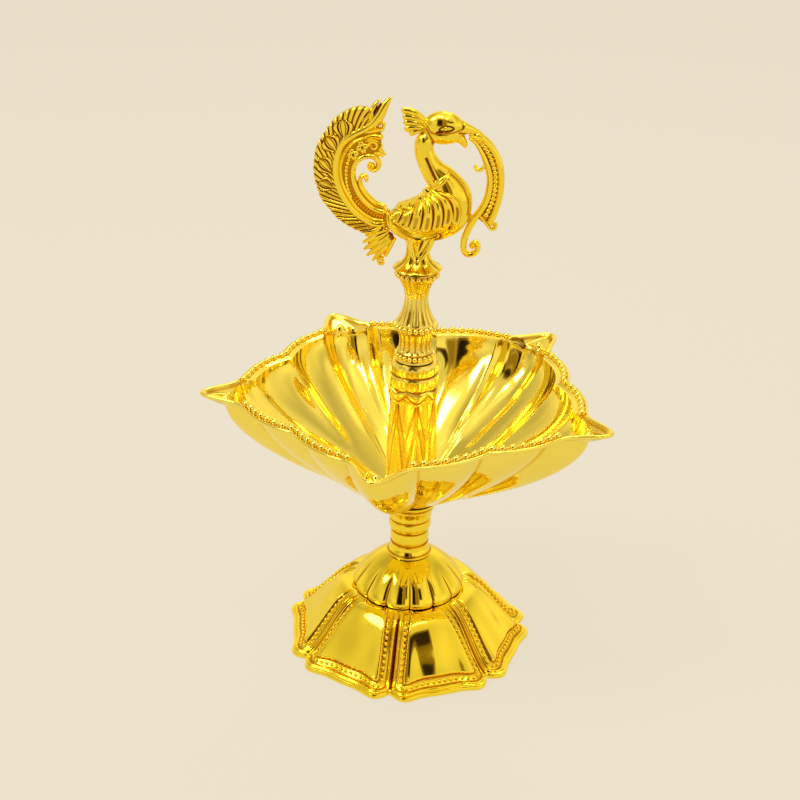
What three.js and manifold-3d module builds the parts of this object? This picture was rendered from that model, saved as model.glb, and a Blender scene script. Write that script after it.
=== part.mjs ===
// Peacock diya: a five-spout oil lamp in polished brass, in millimetres, +Z up.
// The foot, the stem, the bowl, the pillar and the peacock are separate castings that
// stand on one axis. Threaded spigots join them, and a nut under the foot holds the stem.
import * as THREE from 'three';
import { mergeVertices } from 'three/addons/utils/BufferGeometryUtils.js';
import Module from 'manifold-3d';

const wasm = await Module();
wasm.setup();

// Clearances
const SEAT_GAP = 0.3; // between two faces that rest on each other
const THREAD_GAP = 0.3; // radial, between a spigot and its bore
const WALL = 2.0; // cast wall of the foot and the dome

// Foot skirt: a bell of petals, open below
const PETAL_COUNT = 7;
const PETAL_TURN = -7.98; // degrees, azimuth of one seam between petals
const SKIRT_HEIGHT = 22.1;
const SKIRT_MID_RADIUS = 43.3; // rim at the middle of a petal
const PETAL_CORNER_BULGE = 2.8; // how far the two rounded corners stand out
const PETAL_NOTCH = 0.9; // depth of the nick between two petals
const BELL_POWER = 0.9; // higher is slimmer
const RIM_ROLL = 2.4; // height of the rolled bottom edge
const RIM_LAND = 3.0; // width of the flat ring that the lamp stands on
const SEAM_DEPTH = 0.9; // groove between two petals
const BORDER_GROOVE = 1.9; // from a seam to the sunk channel of the beads
const ROPE_INSET = 3.0; // from a seam to the middle of the beads
const ROPE_RISE = 0.5;
const PANEL_INSET = 4.2; // from a seam to the polished panel
const RIM_BORDER = 0.5; // the same borders lie this much further from the rim
const CHANNEL_DEPTH = 0.25;
const PANEL_EDGE = 0.4; // height of the panel's rim
const PANEL_SWELL = 0.3; // further rise in its middle

// Foot dome: gadrooned cap on the skirt
const DOME_LOBES = 14;
const DOME_TURN = 1.8;
const DOME_RADIUS = 20.7;
const DOME_HEIGHT = 13.0;
const DOME_TOP_RADIUS = 8.4;
const DOME_CREASE = 1.1;

// Lower stem
const STEM_HEIGHT = 22.2;
const STEM_WAIST = 6.9;
const STEM_TOP_RADIUS = 10.2;
const STEM_FLANGE_RADIUS = 8.1;
const TAIL_RADIUS = 4.0; // threaded tail through the foot
const TAIL_PROUD = 1.4; // tail end below the nut
const SPIGOT_RADIUS = 4.6; // threaded spigot through the bowl
const SPIGOT_GRIP = 10.0; // length of that spigot inside the pillar

// Nut and washer inside the foot
const NUT_FLATS = 13.0;
const NUT_HEIGHT = 5.0;
const WASHER_RADIUS = 8.0;
const WASHER_THICKNESS = 1.2;

// Sealing ring between stem and bowl
const SEAL_RADIUS = 9.6;
const SEAL_THICKNESS = 0.8;

// Bowl
const SPOUT_COUNT = 5;
const SPOUT_TURN = -10.16; // degrees, azimuth of the front spout
const SPOUT_TIP_RADIUS = 75.0;
const LIP_LENGTH = 12.7; // from the petals' line to a tip
const LIP_HALF_ANGLE = 9.0; // degrees
const LIP_SPREAD = 6.0; // degrees, where a lip's reach has dropped to a third
const LIP_BLUNTNESS = 2.1; // higher is a rounder tip
const SPOUT_LOBE_HALF_ANGLE = 12.0; // degrees, crease beside a spout
const SIDE_WAIST = 6.1; // how far the middle of a side lies inside the lips' roots
const PETAL_ARCH = 1.15; // extra swell of a rim petal
const BOWL_HEIGHT = 43.5; // from the bowl's underside to the rim
const BOWL_WALL = 2.0;
const BOWL_FLAT_RADIUS = 11.0; // flat seat under the bowl
const RIM_FLANGE = 3.4; // width of the beaded flange
const RIM_ROPE = 0.9; // height of the row of beads on it
const RIM_THICKNESS = 1.7;
const LIP_RISE = 0.6; // spout tip above the rim
const LOBE_CREASE = 2.0; // depth of a crease between two lobes
const RIDGE_HEIGHT = 1.6; // rib inside the bowl behind each crease
const RIDGE_HALF = 2.0;
const KEEL_NOSE = 7.5; // wall under a spout beyond the petals' line
const LIP_DEPTH = 3.0; // the lip's root below a plain rim, under its channel
const LIP_BORDER = 0.9; // raised edge round a lip's channel
const LIP_CHANNEL = 2.7; // how much deeper the channel is at its root than at its tip
const BELLY_POWER = 1.05; // higher is flatter near the seat
const KEEL_ROUND = 0.6; // lower is fuller: lobe under a spout
const PETAL_ROUND = 0.67; // lobe under a rim petal

// Pillar in the bowl
const SLEEVE_HEIGHT = 51.6;
const SLEEVE_BASE_RADIUS = 9.2;
const SLEEVE_RADIUS = 8.3;
const SLEEVE_TOP_RADIUS = 7.7;
const LEAF_COUNT = 7;
const LEAF_RELIEF = 0.4;

// Fluted vase on the pillar
const VASE_HEIGHT = 32.3;
const VASE_FLUTES = 24;
const VASE_WAIST = 3.85;
const VASE_COLLAR_RADIUS = 7.7; // beaded collars
const FLUTE_DEPTH = 0.3;
const VASE_GRIP = 10.0; // spigot of the vase inside the pillar

// Peacock
const PEG_RADIUS = 2.2; // threaded peg under the bird
const PEG_LENGTH = 5.5;
const PEDESTAL_RADIUS = 8.5;
const PEDESTAL_NECK = 3.8;
const BIRD_THICKNESS = 1.0; // scales every thickness across the bird
const FEATHERS = 17; // feather tips along the tail's outer edge

// Stack of seats, from the ground up
const WEB_BOTTOM = SKIRT_HEIGHT - WALL;
const WASHER_TOP = WEB_BOTTOM - SEAT_GAP;
const NUT_TOP = WASHER_TOP - WASHER_THICKNESS - SEAT_GAP;
const TAIL_END = NUT_TOP - NUT_HEIGHT - TAIL_PROUD;
const DOME_BASE = SKIRT_HEIGHT + SEAT_GAP;
const DOME_TOP = DOME_BASE + DOME_HEIGHT;
const STEM_BASE = DOME_TOP + SEAT_GAP;
const STEM_TOP = STEM_BASE + STEM_HEIGHT;
const SEAL_BASE = STEM_TOP + SEAT_GAP;
const BOWL_BASE = SEAL_BASE + SEAL_THICKNESS + SEAT_GAP;
const BOWL_RIM = BOWL_BASE + BOWL_HEIGHT;
const SLEEVE_BASE = BOWL_BASE + BOWL_WALL + SEAT_GAP;
const SLEEVE_TOP = SLEEVE_BASE + SLEEVE_HEIGHT;
const VASE_BASE = SLEEVE_TOP + SEAT_GAP;
const VASE_TOP = VASE_BASE + VASE_HEIGHT;
const BIRD_BASE = VASE_TOP + SEAT_GAP;
const TAIL_BORE = TAIL_RADIUS + THREAD_GAP;
const PILLAR_BORE = SPIGOT_RADIUS + THREAD_GAP;
const PEG_BORE = PEG_RADIUS + THREAD_GAP;

const SPOUT_BASE_RADIUS = SPOUT_TIP_RADIUS - LIP_LENGTH;
const CUSP_RADIUS = SPOUT_BASE_RADIUS - SIDE_WAIST;

const RAD = Math.PI / 180;

// Point at an azimuth counted from -Y towards +X
function around(degrees, radius, z) {
  return [radius * Math.sin(degrees * RAD), -radius * Math.cos(degrees * RAD), z];
}

// Joins closed rings of points into one skin; open ends are capped to their centre
function skin(rings, wrap) {
  const count = rings[0].length;
  const position = rings.flat(2);
  const index = [];
  const bands = wrap ? rings.length : rings.length - 1;
  for (let j = 0; j < bands; j++) {
    const low = j * count;
    const high = ((j + 1) % rings.length) * count;
    for (let i = 0; i < count; i++) {
      const next = (i + 1) % count;
      index.push(low + i, low + next, high + next, low + i, high + next, high + i);
    }
  }
  if (!wrap) {
    for (const [ring, flip] of [[0, true], [rings.length - 1, false]]) {
      const centre = [0, 1, 2].map((k) => rings[ring].reduce((sum, p) => sum + p[k], 0) / count);
      const hub = position.length / 3;
      position.push(...centre);
      for (let i = 0; i < count; i++) {
        const here = ring * count + i;
        const next = ring * count + ((i + 1) % count);
        index.push(hub, flip ? next : here, flip ? here : next);
      }
    }
  }
  const geometry = new THREE.BufferGeometry();
  geometry.setAttribute('position', new THREE.Float32BufferAttribute(position, 3));
  geometry.setIndex(index);
  return outward(geometry);
}

// Turns the faces outwards where the enclosed volume comes out negative
function outward(geometry) {
  const p = geometry.attributes.position;
  const index = geometry.index.array;
  const corners = [new THREE.Vector3(), new THREE.Vector3(), new THREE.Vector3()];
  let volume = 0;
  for (let t = 0; t < index.length; t += 3) {
    corners.forEach((corner, k) => corner.fromBufferAttribute(p, index[t + k]));
    volume += corners[0].dot(corners[1].clone().cross(corners[2]));
  }
  if (volume < 0) {
    for (let t = 0; t < index.length; t += 3) {
      const first = index[t];
      index[t] = index[t + 1];
      index[t + 1] = first;
    }
  }
  return geometry;
}

// Turned solid: each station is [radius, z] or a function of the azimuth that gives it
function turned(stations, angles, wrap) {
  const rings = stations.map((station) => angles.map((angle) => {
    const [radius, z] = typeof station === 'function' ? station(angle) : station;
    return around(angle, radius, z);
  }));
  return skin(rings, wrap);
}

function evenAngles(count, start = 0) {
  return Array.from({ length: count }, (_, i) => start + (360 * i) / count);
}

// Smooth profile through a few [radius, z] points
function smoothProfile(points, samples) {
  const curve = new THREE.SplineCurve(points.map(([r, z]) => new THREE.Vector2(r, z)));
  return curve.getPoints(samples).map((p) => [p.x, p.y]);
}

// Signed offset of an azimuth from the nearest of count equal divisions, as -1 to 1
function within(degrees, turn, count) {
  const pitch = 360 / count;
  const offset = (((degrees - turn) % pitch) + pitch) % pitch;
  return (2 * offset) / pitch - 1;
}

function toManifold(geometry) {
  const bare = geometry.clone();
  bare.deleteAttribute('normal');
  bare.deleteAttribute('uv');
  const merged = mergeVertices(bare, 1e-5);
  return new wasm.Manifold(new wasm.Mesh({
    numProp: 3,
    vertProperties: new Float32Array(merged.attributes.position.array),
    triVerts: new Uint32Array(merged.index.array),
  }));
}

function toGeometry(manifold) {
  const mesh = manifold.getMesh();
  const geometry = new THREE.BufferGeometry();
  geometry.setAttribute('position', new THREE.BufferAttribute(mesh.vertProperties, 3));
  geometry.setIndex(new THREE.BufferAttribute(mesh.triVerts, 1));
  return geometry;
}

function unite(solids) {
  return solids.reduce((sum, solid) => sum.add(solid));
}

// Skirt: a bell profile whose rim follows the petals, with raised panels and seam grooves
function skirtRim(t) {
  const across = Math.abs(t);
  const corner = Math.sin(Math.PI * across ** 2.11) ** 2;
  const nick = Math.exp(-(((1 - across) / 0.05) ** 2));
  return SKIRT_MID_RADIUS + PETAL_CORNER_BULGE * corner - PETAL_NOTCH * nick;
}

// Height of the relief at a distance from the nearer of seam and rim
function skirtRelief(inset, seam) {
  const marks = [0, BORDER_GROOVE, ROPE_INSET, PANEL_INSET, PANEL_INSET + 0.6, PANEL_INSET + 9];
  const heights = [0, -CHANNEL_DEPTH, ROPE_RISE, -CHANNEL_DEPTH, PANEL_EDGE, PANEL_EDGE + PANEL_SWELL];
  const cut = SEAM_DEPTH * Math.max(0, 1 - seam / 1.2);
  const k = marks.findIndex((mark) => inset < mark);
  if (k < 1) {
    return (k < 0 ? heights[5] : 0) - cut;
  }
  const share = (inset - marks[k - 1]) / (marks[k] - marks[k - 1]);
  return heights[k - 1] + (heights[k] - heights[k - 1]) * share - cut;
}

// Shoulder, steep waist and outward sweep of the bell, 1 at the dome and 0 at the rim
function bellHeight(x) {
  return ((1 + Math.cos(Math.PI * Math.min(x, 1))) / 2) ** BELL_POWER;
}

// The columns keep their distance from the seams, so that the borders run parallel to them
function footSkirt() {
  const inner = DOME_RADIUS + 0.4;
  const half = 180 / PETAL_COUNT;
  const gaps = [0, BORDER_GROOVE, ROPE_INSET, PANEL_INSET, PANEL_INSET + 0.6];
  const columns = [];
  for (let petal = 0; petal < PETAL_COUNT; petal++) {
    const middle = PETAL_TURN + half * (2 * petal + 1);
    gaps.forEach((gap) => columns.push({ middle, side: -1, gap }));
    columns.push({ middle, side: 0, gap: 0 });
    gaps.slice(1).reverse().forEach((gap) => columns.push({ middle, side: 1, gap }));
  }
  const place = ({ middle, side, gap }, x) => {
    const mean = inner + (SKIRT_MID_RADIUS - inner) * x;
    const t = side * (1 - gap / (half * RAD * mean));
    return { angle: middle + half * t, rim: skirtRim(t), seam: side ? gap : half * RAD * mean };
  };
  const mean = SKIRT_MID_RADIUS - inner;
  const borders = gaps.slice(1).reverse().map((gap) => 1 - (gap + RIM_BORDER) / mean);
  const outside = [0, 0.2, 0.4, 0.58, ...borders, 1];
  const outer = outside.map((x) => columns.map((column) => {
    const { angle, rim, seam } = place(column, x);
    const fromRim = Math.max(0, (1 - x) * mean - RIM_BORDER);
    const rise = skirtRelief(Math.min(seam, fromRim), seam) * Math.min(1, x * 6);
    const height = RIM_ROLL + (SKIRT_HEIGHT - RIM_ROLL) * bellHeight(x) + rise * (1 - x * 0.5);
    return around(angle, inner + (rim - inner) * x + rise * x * 0.8, height);
  }));
  const below = (x, radius, z) => columns.map((column) => {
    const { angle, rim } = place(column, x);
    return around(angle, radius(rim), z);
  });
  const rolled = [[0.25, 0.45], [-0.3, 0]].map(([out, height]) => (
    below(1, (rim) => rim + out, RIM_ROLL * height)
  ));
  const land = below(1, (rim) => rim - RIM_LAND, 0);
  const inside = [0.88, 0.6, 0.3].map((x) => (
    below(x, (rim) => inner + (rim - inner) * x - WALL * 0.8 * x,
      RIM_ROLL * x + (WEB_BOTTOM - RIM_ROLL) * bellHeight(x))
  ));
  const web = [[inner, WEB_BOTTOM], [TAIL_BORE, WEB_BOTTOM], [TAIL_BORE, SKIRT_HEIGHT]]
    .map(([radius, z]) => below(0, () => radius, z));
  return skin([...outer, ...rolled, land, ...inside, ...web], true);
}

// Dome: convex lobes that fade into the plain top
function footDome() {
  const shape = smoothProfile([
    [DOME_RADIUS - 0.2, 0], [DOME_RADIUS, DOME_HEIGHT * 0.11], [DOME_RADIUS * 0.93, DOME_HEIGHT * 0.31],
    [DOME_RADIUS * 0.79, DOME_HEIGHT * 0.58], [DOME_RADIUS * 0.6, DOME_HEIGHT * 0.83],
    [DOME_TOP_RADIUS, DOME_HEIGHT],
  ], 5);
  const lobed = shape.map(([radius, height]) => (angle) => {
    const t = within(angle, DOME_TURN, DOME_LOBES);
    const fade = Math.max(0, 1 - (height / DOME_HEIGHT) ** 3);
    const crease = DOME_CREASE * (1 - Math.sqrt(1 - 0.98 * t * t)) * fade;
    return [radius - crease, DOME_BASE + height];
  });
  const hollow = shape.slice(0, -1).reverse().map(([radius, height]) => {
    const low = Math.min(height, DOME_HEIGHT - WALL);
    return [Math.max(radius - WALL, TAIL_BORE + WALL), DOME_BASE + low];
  });
  const bore = [[TAIL_BORE, DOME_TOP - WALL], [TAIL_BORE, DOME_TOP]];
  const steps = evenAngles(DOME_LOBES * 4, DOME_TURN);
  return turned([...bore.reverse(), ...lobed.reverse(), ...hollow.reverse()], steps, true);
}

// Stem: turned, with two grooves, a flange on the dome and a flare under the bowl
function lowerStem() {
  const profile = [
    [TAIL_RADIUS - 0.6, TAIL_END], [TAIL_RADIUS, TAIL_END + 0.6], [TAIL_RADIUS, STEM_BASE],
    [STEM_FLANGE_RADIUS, STEM_BASE], [STEM_FLANGE_RADIUS + 0.1, STEM_BASE + 0.5],
    [STEM_FLANGE_RADIUS - 0.5, STEM_BASE + 1.6], [STEM_WAIST + 0.1, STEM_BASE + 3.2],
    [STEM_WAIST - 0.1, STEM_BASE + 4.8], [STEM_WAIST + 0.2, STEM_BASE + 5.3],
    [STEM_WAIST + 0.3, STEM_BASE + 7.4], [STEM_WAIST + 0.1, STEM_BASE + 9.6],
    [STEM_WAIST - 0.2, STEM_BASE + 10.1], [STEM_WAIST + 0.4, STEM_BASE + 10.6],
    [STEM_WAIST + 0.9, STEM_BASE + 12.4], [STEM_WAIST + 0.8, STEM_BASE + 14.2],
    [STEM_WAIST + 0.4, STEM_BASE + 14.7], [STEM_WAIST + 1.0, STEM_BASE + 15.3],
    [STEM_WAIST + 1.2, STEM_BASE + 17.4], [STEM_WAIST + 2.0, STEM_BASE + 19.6],
    [STEM_WAIST + 1.8, STEM_BASE + 20.1], [STEM_TOP_RADIUS - 0.8, STEM_BASE + 20.6],
    [STEM_TOP_RADIUS, STEM_TOP - 0.4], [STEM_TOP_RADIUS, STEM_TOP],
    [SPIGOT_RADIUS, STEM_TOP], [SPIGOT_RADIUS, SLEEVE_BASE + SPIGOT_GRIP - 0.6],
    [SPIGOT_RADIUS - 0.6, SLEEVE_BASE + SPIGOT_GRIP],
  ];
  return turned(profile, evenAngles(24), false);
}

function plainRing(inner, outer, base, thickness, sides) {
  const section = [[inner, base], [outer, base], [outer, base + thickness], [inner, base + thickness]];
  return turned(section, evenAngles(sides), true);
}

function footNut() {
  const shape = new THREE.Shape();
  for (let corner = 0; corner < 6; corner++) {
    const radius = NUT_FLATS / 2 / Math.cos(30 * RAD);
    const x = radius * Math.cos(60 * corner * RAD);
    const y = radius * Math.sin(60 * corner * RAD);
    corner === 0 ? shape.moveTo(x, y) : shape.lineTo(x, y);
  }
  const bore = new THREE.Path();
  bore.absarc(0, 0, TAIL_BORE, 0, 2 * Math.PI, true);
  shape.holes.push(bore);
  const nut = new THREE.ExtrudeGeometry(shape, { depth: NUT_HEIGHT, bevelEnabled: false, curveSegments: 12 });
  return nut.translate(0, 0, NUT_TOP - NUT_HEIGHT);
}

// Rim of the bowl in plan: five blunt lips, and two petals between each pair of them
function fromSpout(degrees) {
  return 180 / SPOUT_COUNT * (1 - Math.abs(within(degrees, SPOUT_TURN, SPOUT_COUNT)));
}

function sideRadius(offset) {
  const t = Math.max(0, (offset - LIP_HALF_ANGLE) / (180 / SPOUT_COUNT - LIP_HALF_ANGLE));
  return SPOUT_BASE_RADIUS + (CUSP_RADIUS - SPOUT_BASE_RADIUS) * t + PETAL_ARCH * 4 * t * (1 - t);
}

// 1 in the middle of a lip, falling to 0 where it has merged with the petals
function lipShare(offset) {
  return Math.exp(-((offset / LIP_SPREAD) ** LIP_BLUNTNESS));
}

function rimRadius(offset) {
  return sideRadius(offset) + (SPOUT_TIP_RADIUS - SPOUT_BASE_RADIUS) * lipShare(offset);
}

// Outline of the bowl's wall under the rim
function wallRadius(offset) {
  const nose = KEEL_NOSE * (1 - Math.min(offset / SPOUT_LOBE_HALF_ANGLE, 1) ** 2);
  return sideRadius(offset) - RIM_FLANGE + nose;
}

// Position across a lobe, -1 to 1: one lobe for a spout and one for each petal
function acrossLobe(offset) {
  if (offset < SPOUT_LOBE_HALF_ANGLE) {
    return offset / SPOUT_LOBE_HALF_ANGLE;
  }
  return 2 * (offset - SPOUT_LOBE_HALF_ANGLE) / (180 / SPOUT_COUNT - SPOUT_LOBE_HALF_ANGLE) - 1;
}

// A spout's lobe is fuller than its neighbours, so that it reads as a keel
function bellyHeight(x, offset) {
  const share = Math.min(offset / SPOUT_LOBE_HALF_ANGLE, 1);
  const round = KEEL_ROUND + (PETAL_ROUND - KEEL_ROUND) * share ** 1.5;
  return 1 - (1 - Math.min(x, 1) ** BELLY_POWER) ** round;
}

function smooth(value, start, end) {
  const share = Math.min(Math.max((value - start) / (end - start), 0), 1);
  return share * share * (3 - 2 * share);
}

// Rib inside the bowl over each crease, from under the rim down to the plain floor
function innerRidge(offset, radius, x) {
  const nearest = Math.min(Math.abs(offset - SPOUT_LOBE_HALF_ANGLE), Math.abs(180 / SPOUT_COUNT - offset));
  const fade = smooth(x, 0.33, 0.5) * (1 - smooth(x, 0.84, 0.98));
  return RIDGE_HEIGHT * Math.exp(-((nearest * RAD * radius / RIDGE_HALF) ** 3)) * fade;
}

// Depth of the pouring channel in a lip: none at its raised border, most at its root
function lipChannel(offset, radius) {
  const lean = (rimRadius(offset + 0.05) - rimRadius(Math.abs(offset - 0.05))) / (0.1 * RAD * radius);
  const fromEdge = (rimRadius(offset) - radius) / Math.hypot(1, lean);
  const reach = Math.max(0, (SPOUT_TIP_RADIUS - radius) / (SPOUT_TIP_RADIUS - SPOUT_BASE_RADIUS));
  const depth = 0.7 + LIP_CHANNEL * Math.min(reach, 1);
  return depth * smooth(fromEdge, LIP_BORDER, LIP_BORDER + 2.5) * (1 - smooth(offset, 7.5, 10.5));
}

function bowl() {
  const span = (offset) => wallRadius(offset) - BOWL_FLAT_RADIUS;
  const outside = [0, 0.22, 0.45, 0.68, 0.85, 0.95, 1];
  const outer = outside.map((x) => (angle) => {
    const offset = fromSpout(angle);
    const lobe = acrossLobe(offset);
    const fade = Math.sin(Math.PI * Math.min(x / 1.15, 1)) ** 0.7;
    const crease = LOBE_CREASE * (1 - Math.sqrt(1 - 0.97 * lobe * lobe)) * fade;
    const top = BOWL_RIM - RIM_THICKNESS - LIP_DEPTH * lipShare(offset);
    const height = BOWL_BASE + (top - BOWL_BASE) * bellyHeight(x, offset);
    return [BOWL_FLAT_RADIUS + span(offset) * x - crease, height];
  });
  const edge = [[0.5, 1.36], [0, 0.68], [0.4, 0]].map(([inset, down]) => (angle) => {
    const offset = fromSpout(angle);
    return [rimRadius(offset) - inset, BOWL_RIM - down + LIP_RISE * lipShare(offset)];
  });
  const top = [0.14, 0.38, 0.66, 1].map((share, row) => (angle) => {
    const offset = fromSpout(angle);
    const start = rimRadius(offset) - 0.6;
    const radius = start + (wallRadius(offset) - BOWL_WALL - start) * share;
    const rope = row === 1 ? RIM_ROPE * smooth(offset, 9.5, 11) : 0;
    const lift = LIP_RISE * lipShare(offset) * (1 - share) - (row === 3 ? 0.7 : 0);
    return [radius, BOWL_RIM + lift + rope - lipChannel(offset, radius)];
  });
  const floor = BOWL_BASE + BOWL_WALL;
  const inner = [0.95, 0.85, 0.68, 0.5, 0.33, 0.15, 0].map((x) => (angle) => {
    const offset = fromSpout(angle);
    const outline = wallRadius(offset) - BOWL_WALL;
    const start = BOWL_RIM - 0.7 - lipChannel(offset, outline);
    const radius = BOWL_FLAT_RADIUS + (outline - BOWL_FLAT_RADIUS) * x;
    const height = floor + (start - floor) * bellyHeight(x, offset);
    return [radius - innerRidge(offset, radius, x), height];
  });
  const hole = [[PILLAR_BORE, floor], [PILLAR_BORE, BOWL_BASE]];
  const half = [0, 2.5, 5, 7.5, 9.8, SPOUT_LOBE_HALF_ANGLE, 14.2, 24, 33.8, 180 / SPOUT_COUNT];
  const angles = [];
  for (let spout = 0; spout < SPOUT_COUNT; spout++) {
    const centre = SPOUT_TURN + (360 * spout) / SPOUT_COUNT;
    half.slice(1, -1).reverse().forEach((offset) => angles.push(centre - offset));
    half.forEach((offset) => angles.push(centre + offset));
  }
  return turned([...outer, ...edge, ...top, ...inner, ...hole], angles, true);
}

// Pillar: tapered, with pointed leaves, a waved ring and two plain bands, and a through bore
function columnSleeve() {
  const leafy = (radius, z, amount) => (angle) => {
    const wave = Math.abs(within(angle, 0, LEAF_COUNT));
    return [radius + LEAF_RELIEF * amount * (wave - 0.5), z];
  };
  const ring = (radius, z, lift) => (angle) => [
    radius, z + lift * Math.abs(within(angle, 0, LEAF_COUNT)),
  ];
  const bands = SLEEVE_TOP - 9.6;
  const leaves = SLEEVE_TOP - 13.8;
  const stations = [
    [PILLAR_BORE, SLEEVE_BASE], [SLEEVE_BASE_RADIUS, SLEEVE_BASE],
    [SLEEVE_BASE_RADIUS, SLEEVE_BASE + 1.2], leafy(SLEEVE_BASE_RADIUS - 0.3, SLEEVE_BASE + 4, 0.6),
    leafy(SLEEVE_RADIUS + 0.5, SLEEVE_BASE + 18, 1), leafy(SLEEVE_RADIUS + 0.1, SLEEVE_BASE + 26, -1),
    leafy(SLEEVE_RADIUS - 0.1, leaves - 2, -0.6), ring(SLEEVE_RADIUS - 0.2, leaves - 0.6, 1.2),
    ring(SLEEVE_RADIUS + 0.5, leaves, 1.2), ring(SLEEVE_RADIUS + 0.5, leaves + 1.4, 1.2),
    [SLEEVE_RADIUS - 0.3, bands - 0.3], [SLEEVE_RADIUS, bands + 0.4], [SLEEVE_RADIUS, bands + 4.4],
    [SLEEVE_RADIUS - 0.5, bands + 4.9], [SLEEVE_TOP_RADIUS + 0.2, bands + 5.5],
    [SLEEVE_TOP_RADIUS, SLEEVE_TOP - 0.4], [SLEEVE_TOP_RADIUS - 0.4, SLEEVE_TOP],
    [PILLAR_BORE, SLEEVE_TOP],
  ];
  return turned(stations, evenAngles(LEAF_COUNT * 4), true);
}

// Vase: a fluted neck between two beaded collars, a waist, and a beaded lip under the bird
function columnVase() {
  const fluted = (radius, height, amount) => (angle) => [
    radius - FLUTE_DEPTH * amount * Math.abs(within(angle, 0, VASE_FLUTES)), VASE_BASE + height,
  ];
  const collar = VASE_COLLAR_RADIUS;
  const stations = [
    [SPIGOT_RADIUS - 0.6, VASE_BASE - VASE_GRIP], [SPIGOT_RADIUS, VASE_BASE - VASE_GRIP + 0.6],
    [SPIGOT_RADIUS, VASE_BASE], fluted(collar - 0.8, 0, 0), fluted(collar - 0.1, 1.2, 2),
    fluted(collar - 0.3, 2.8, 2), fluted(collar - 1.5, 3.6, 1),
    fluted(5.8, 5.8, 1), fluted(5.9, 8.6, 1), fluted(collar - 1.5, 11, 1),
    fluted(collar + 0.1, 11.8, 2), fluted(collar + 0.1, 13.4, 2),
    fluted(6.6, 15, 1), fluted(5, 17.6, 1), fluted(VASE_WAIST, 22.6, 1),
    fluted(4.3, 26.2, 1), fluted(6.1, 29.8, 1), fluted(7.5, 31, 2), fluted(7, VASE_HEIGHT, 0), [PEG_BORE, VASE_TOP],
    [PEG_BORE, VASE_TOP - PEG_LENGTH - SEAT_GAP],
  ];
  return turned(stations, evenAngles(VASE_FLUTES * 2), false);
}

// Tapered form along a smooth line in the bird's plane: controls are [x, z, half width, half thickness]
function limb(controls, { sides = 8, steps = 10, y = 0, grow = 0 } = {}) {
  const line = new THREE.CatmullRomCurve3(controls.map(([x, z]) => new THREE.Vector3(x, 0, z)));
  const sizes = new THREE.CatmullRomCurve3(
    controls.map(([, , a, b]) => new THREE.Vector3(a, b, 0)), false, 'catmullrom', 0.5,
  );
  const rings = [];
  for (let s = 0; s <= steps; s++) {
    const centre = line.getPoint(s / steps);
    const along = line.getTangent(s / steps);
    const size = sizes.getPoint(s / steps);
    const ring = [];
    for (let i = 0; i < sides; i++) {
      const turn = (2 * Math.PI * i) / sides;
      const across = (Math.max(size.x, 0.15) + grow) * Math.cos(turn);
      const depth = (Math.max(size.y, 0.15) * BIRD_THICKNESS + grow) * Math.sin(turn);
      ring.push([centre.x - along.z * across, y + depth, centre.z + along.x * across]);
    }
    rings.push(ring);
  }
  return toManifold(skin(rings, false));
}

// Curl that winds in round a centre: angles in degrees, counted from +X towards +Z
function curl(centre, outer, inner, from, turn, half) {
  const count = 9;
  const controls = [];
  for (let i = 0; i < count; i++) {
    const t = i / (count - 1);
    const radius = outer + (inner - outer) * t;
    const angle = (from + turn * t) * RAD;
    const size = half * (1 - 0.35 * t);
    controls.push([centre[0] + radius * Math.cos(angle), centre[1] + radius * Math.sin(angle), size, size]);
  }
  return limb(controls, { sides: 6, steps: 12 });
}

function ellipsoid(centre, radii, tilt = 0) {
  const geometry = new THREE.SphereGeometry(1, 14, 8);
  geometry.scale(...radii);
  geometry.rotateY(-tilt * RAD);
  geometry.translate(...centre);
  return toManifold(geometry);
}

// Heights on the bird are counted from its base
const up = (height) => BIRD_BASE + height;

function birdTrunk(grow) {
  const trunk = limb([
    [-11.2, up(18.4), 2.9, 2.4], [-7.2, up(17.4), 4.3, 3.6], [-2, up(16.8), 5.8, 5.0],
    [3.4, up(17.9), 7.6, 6.3], [8, up(21.3), 8.9, 7.0], [9.6, up(26), 8.0, 6.4], [8, up(31), 5.6, 4.9],
    [4.7, up(35), 3.9, 3.6], [2.1, up(39.4), 3.1, 3.0], [1.4, up(43.6), 3.0, 2.8], [2.8, up(47.2), 3.2, 3.0],
  ], { sides: 14, steps: 20, grow });
  const head = ellipsoid([7.1, 0, up(49)], [7.1 + grow, 4.3 * BIRD_THICKNESS + grow, 5.7 + grow], -6);
  const upperBeak = limb([
    [10.5, up(49.4), 2.8, 2.6], [15, up(48.9), 1.8, 1.7], [20.4, up(47.4), 0.5, 0.5],
  ], { steps: 6, grow });
  const lowerBeak = limb([
    [10.5, up(46.4), 2.2, 2.2], [14, up(45), 1.3, 1.4], [15.8, up(43.2), 0.5, 0.5],
  ], { steps: 5, grow });
  return unite([trunk, head, upperBeak, lowerBeak]);
}

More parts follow.
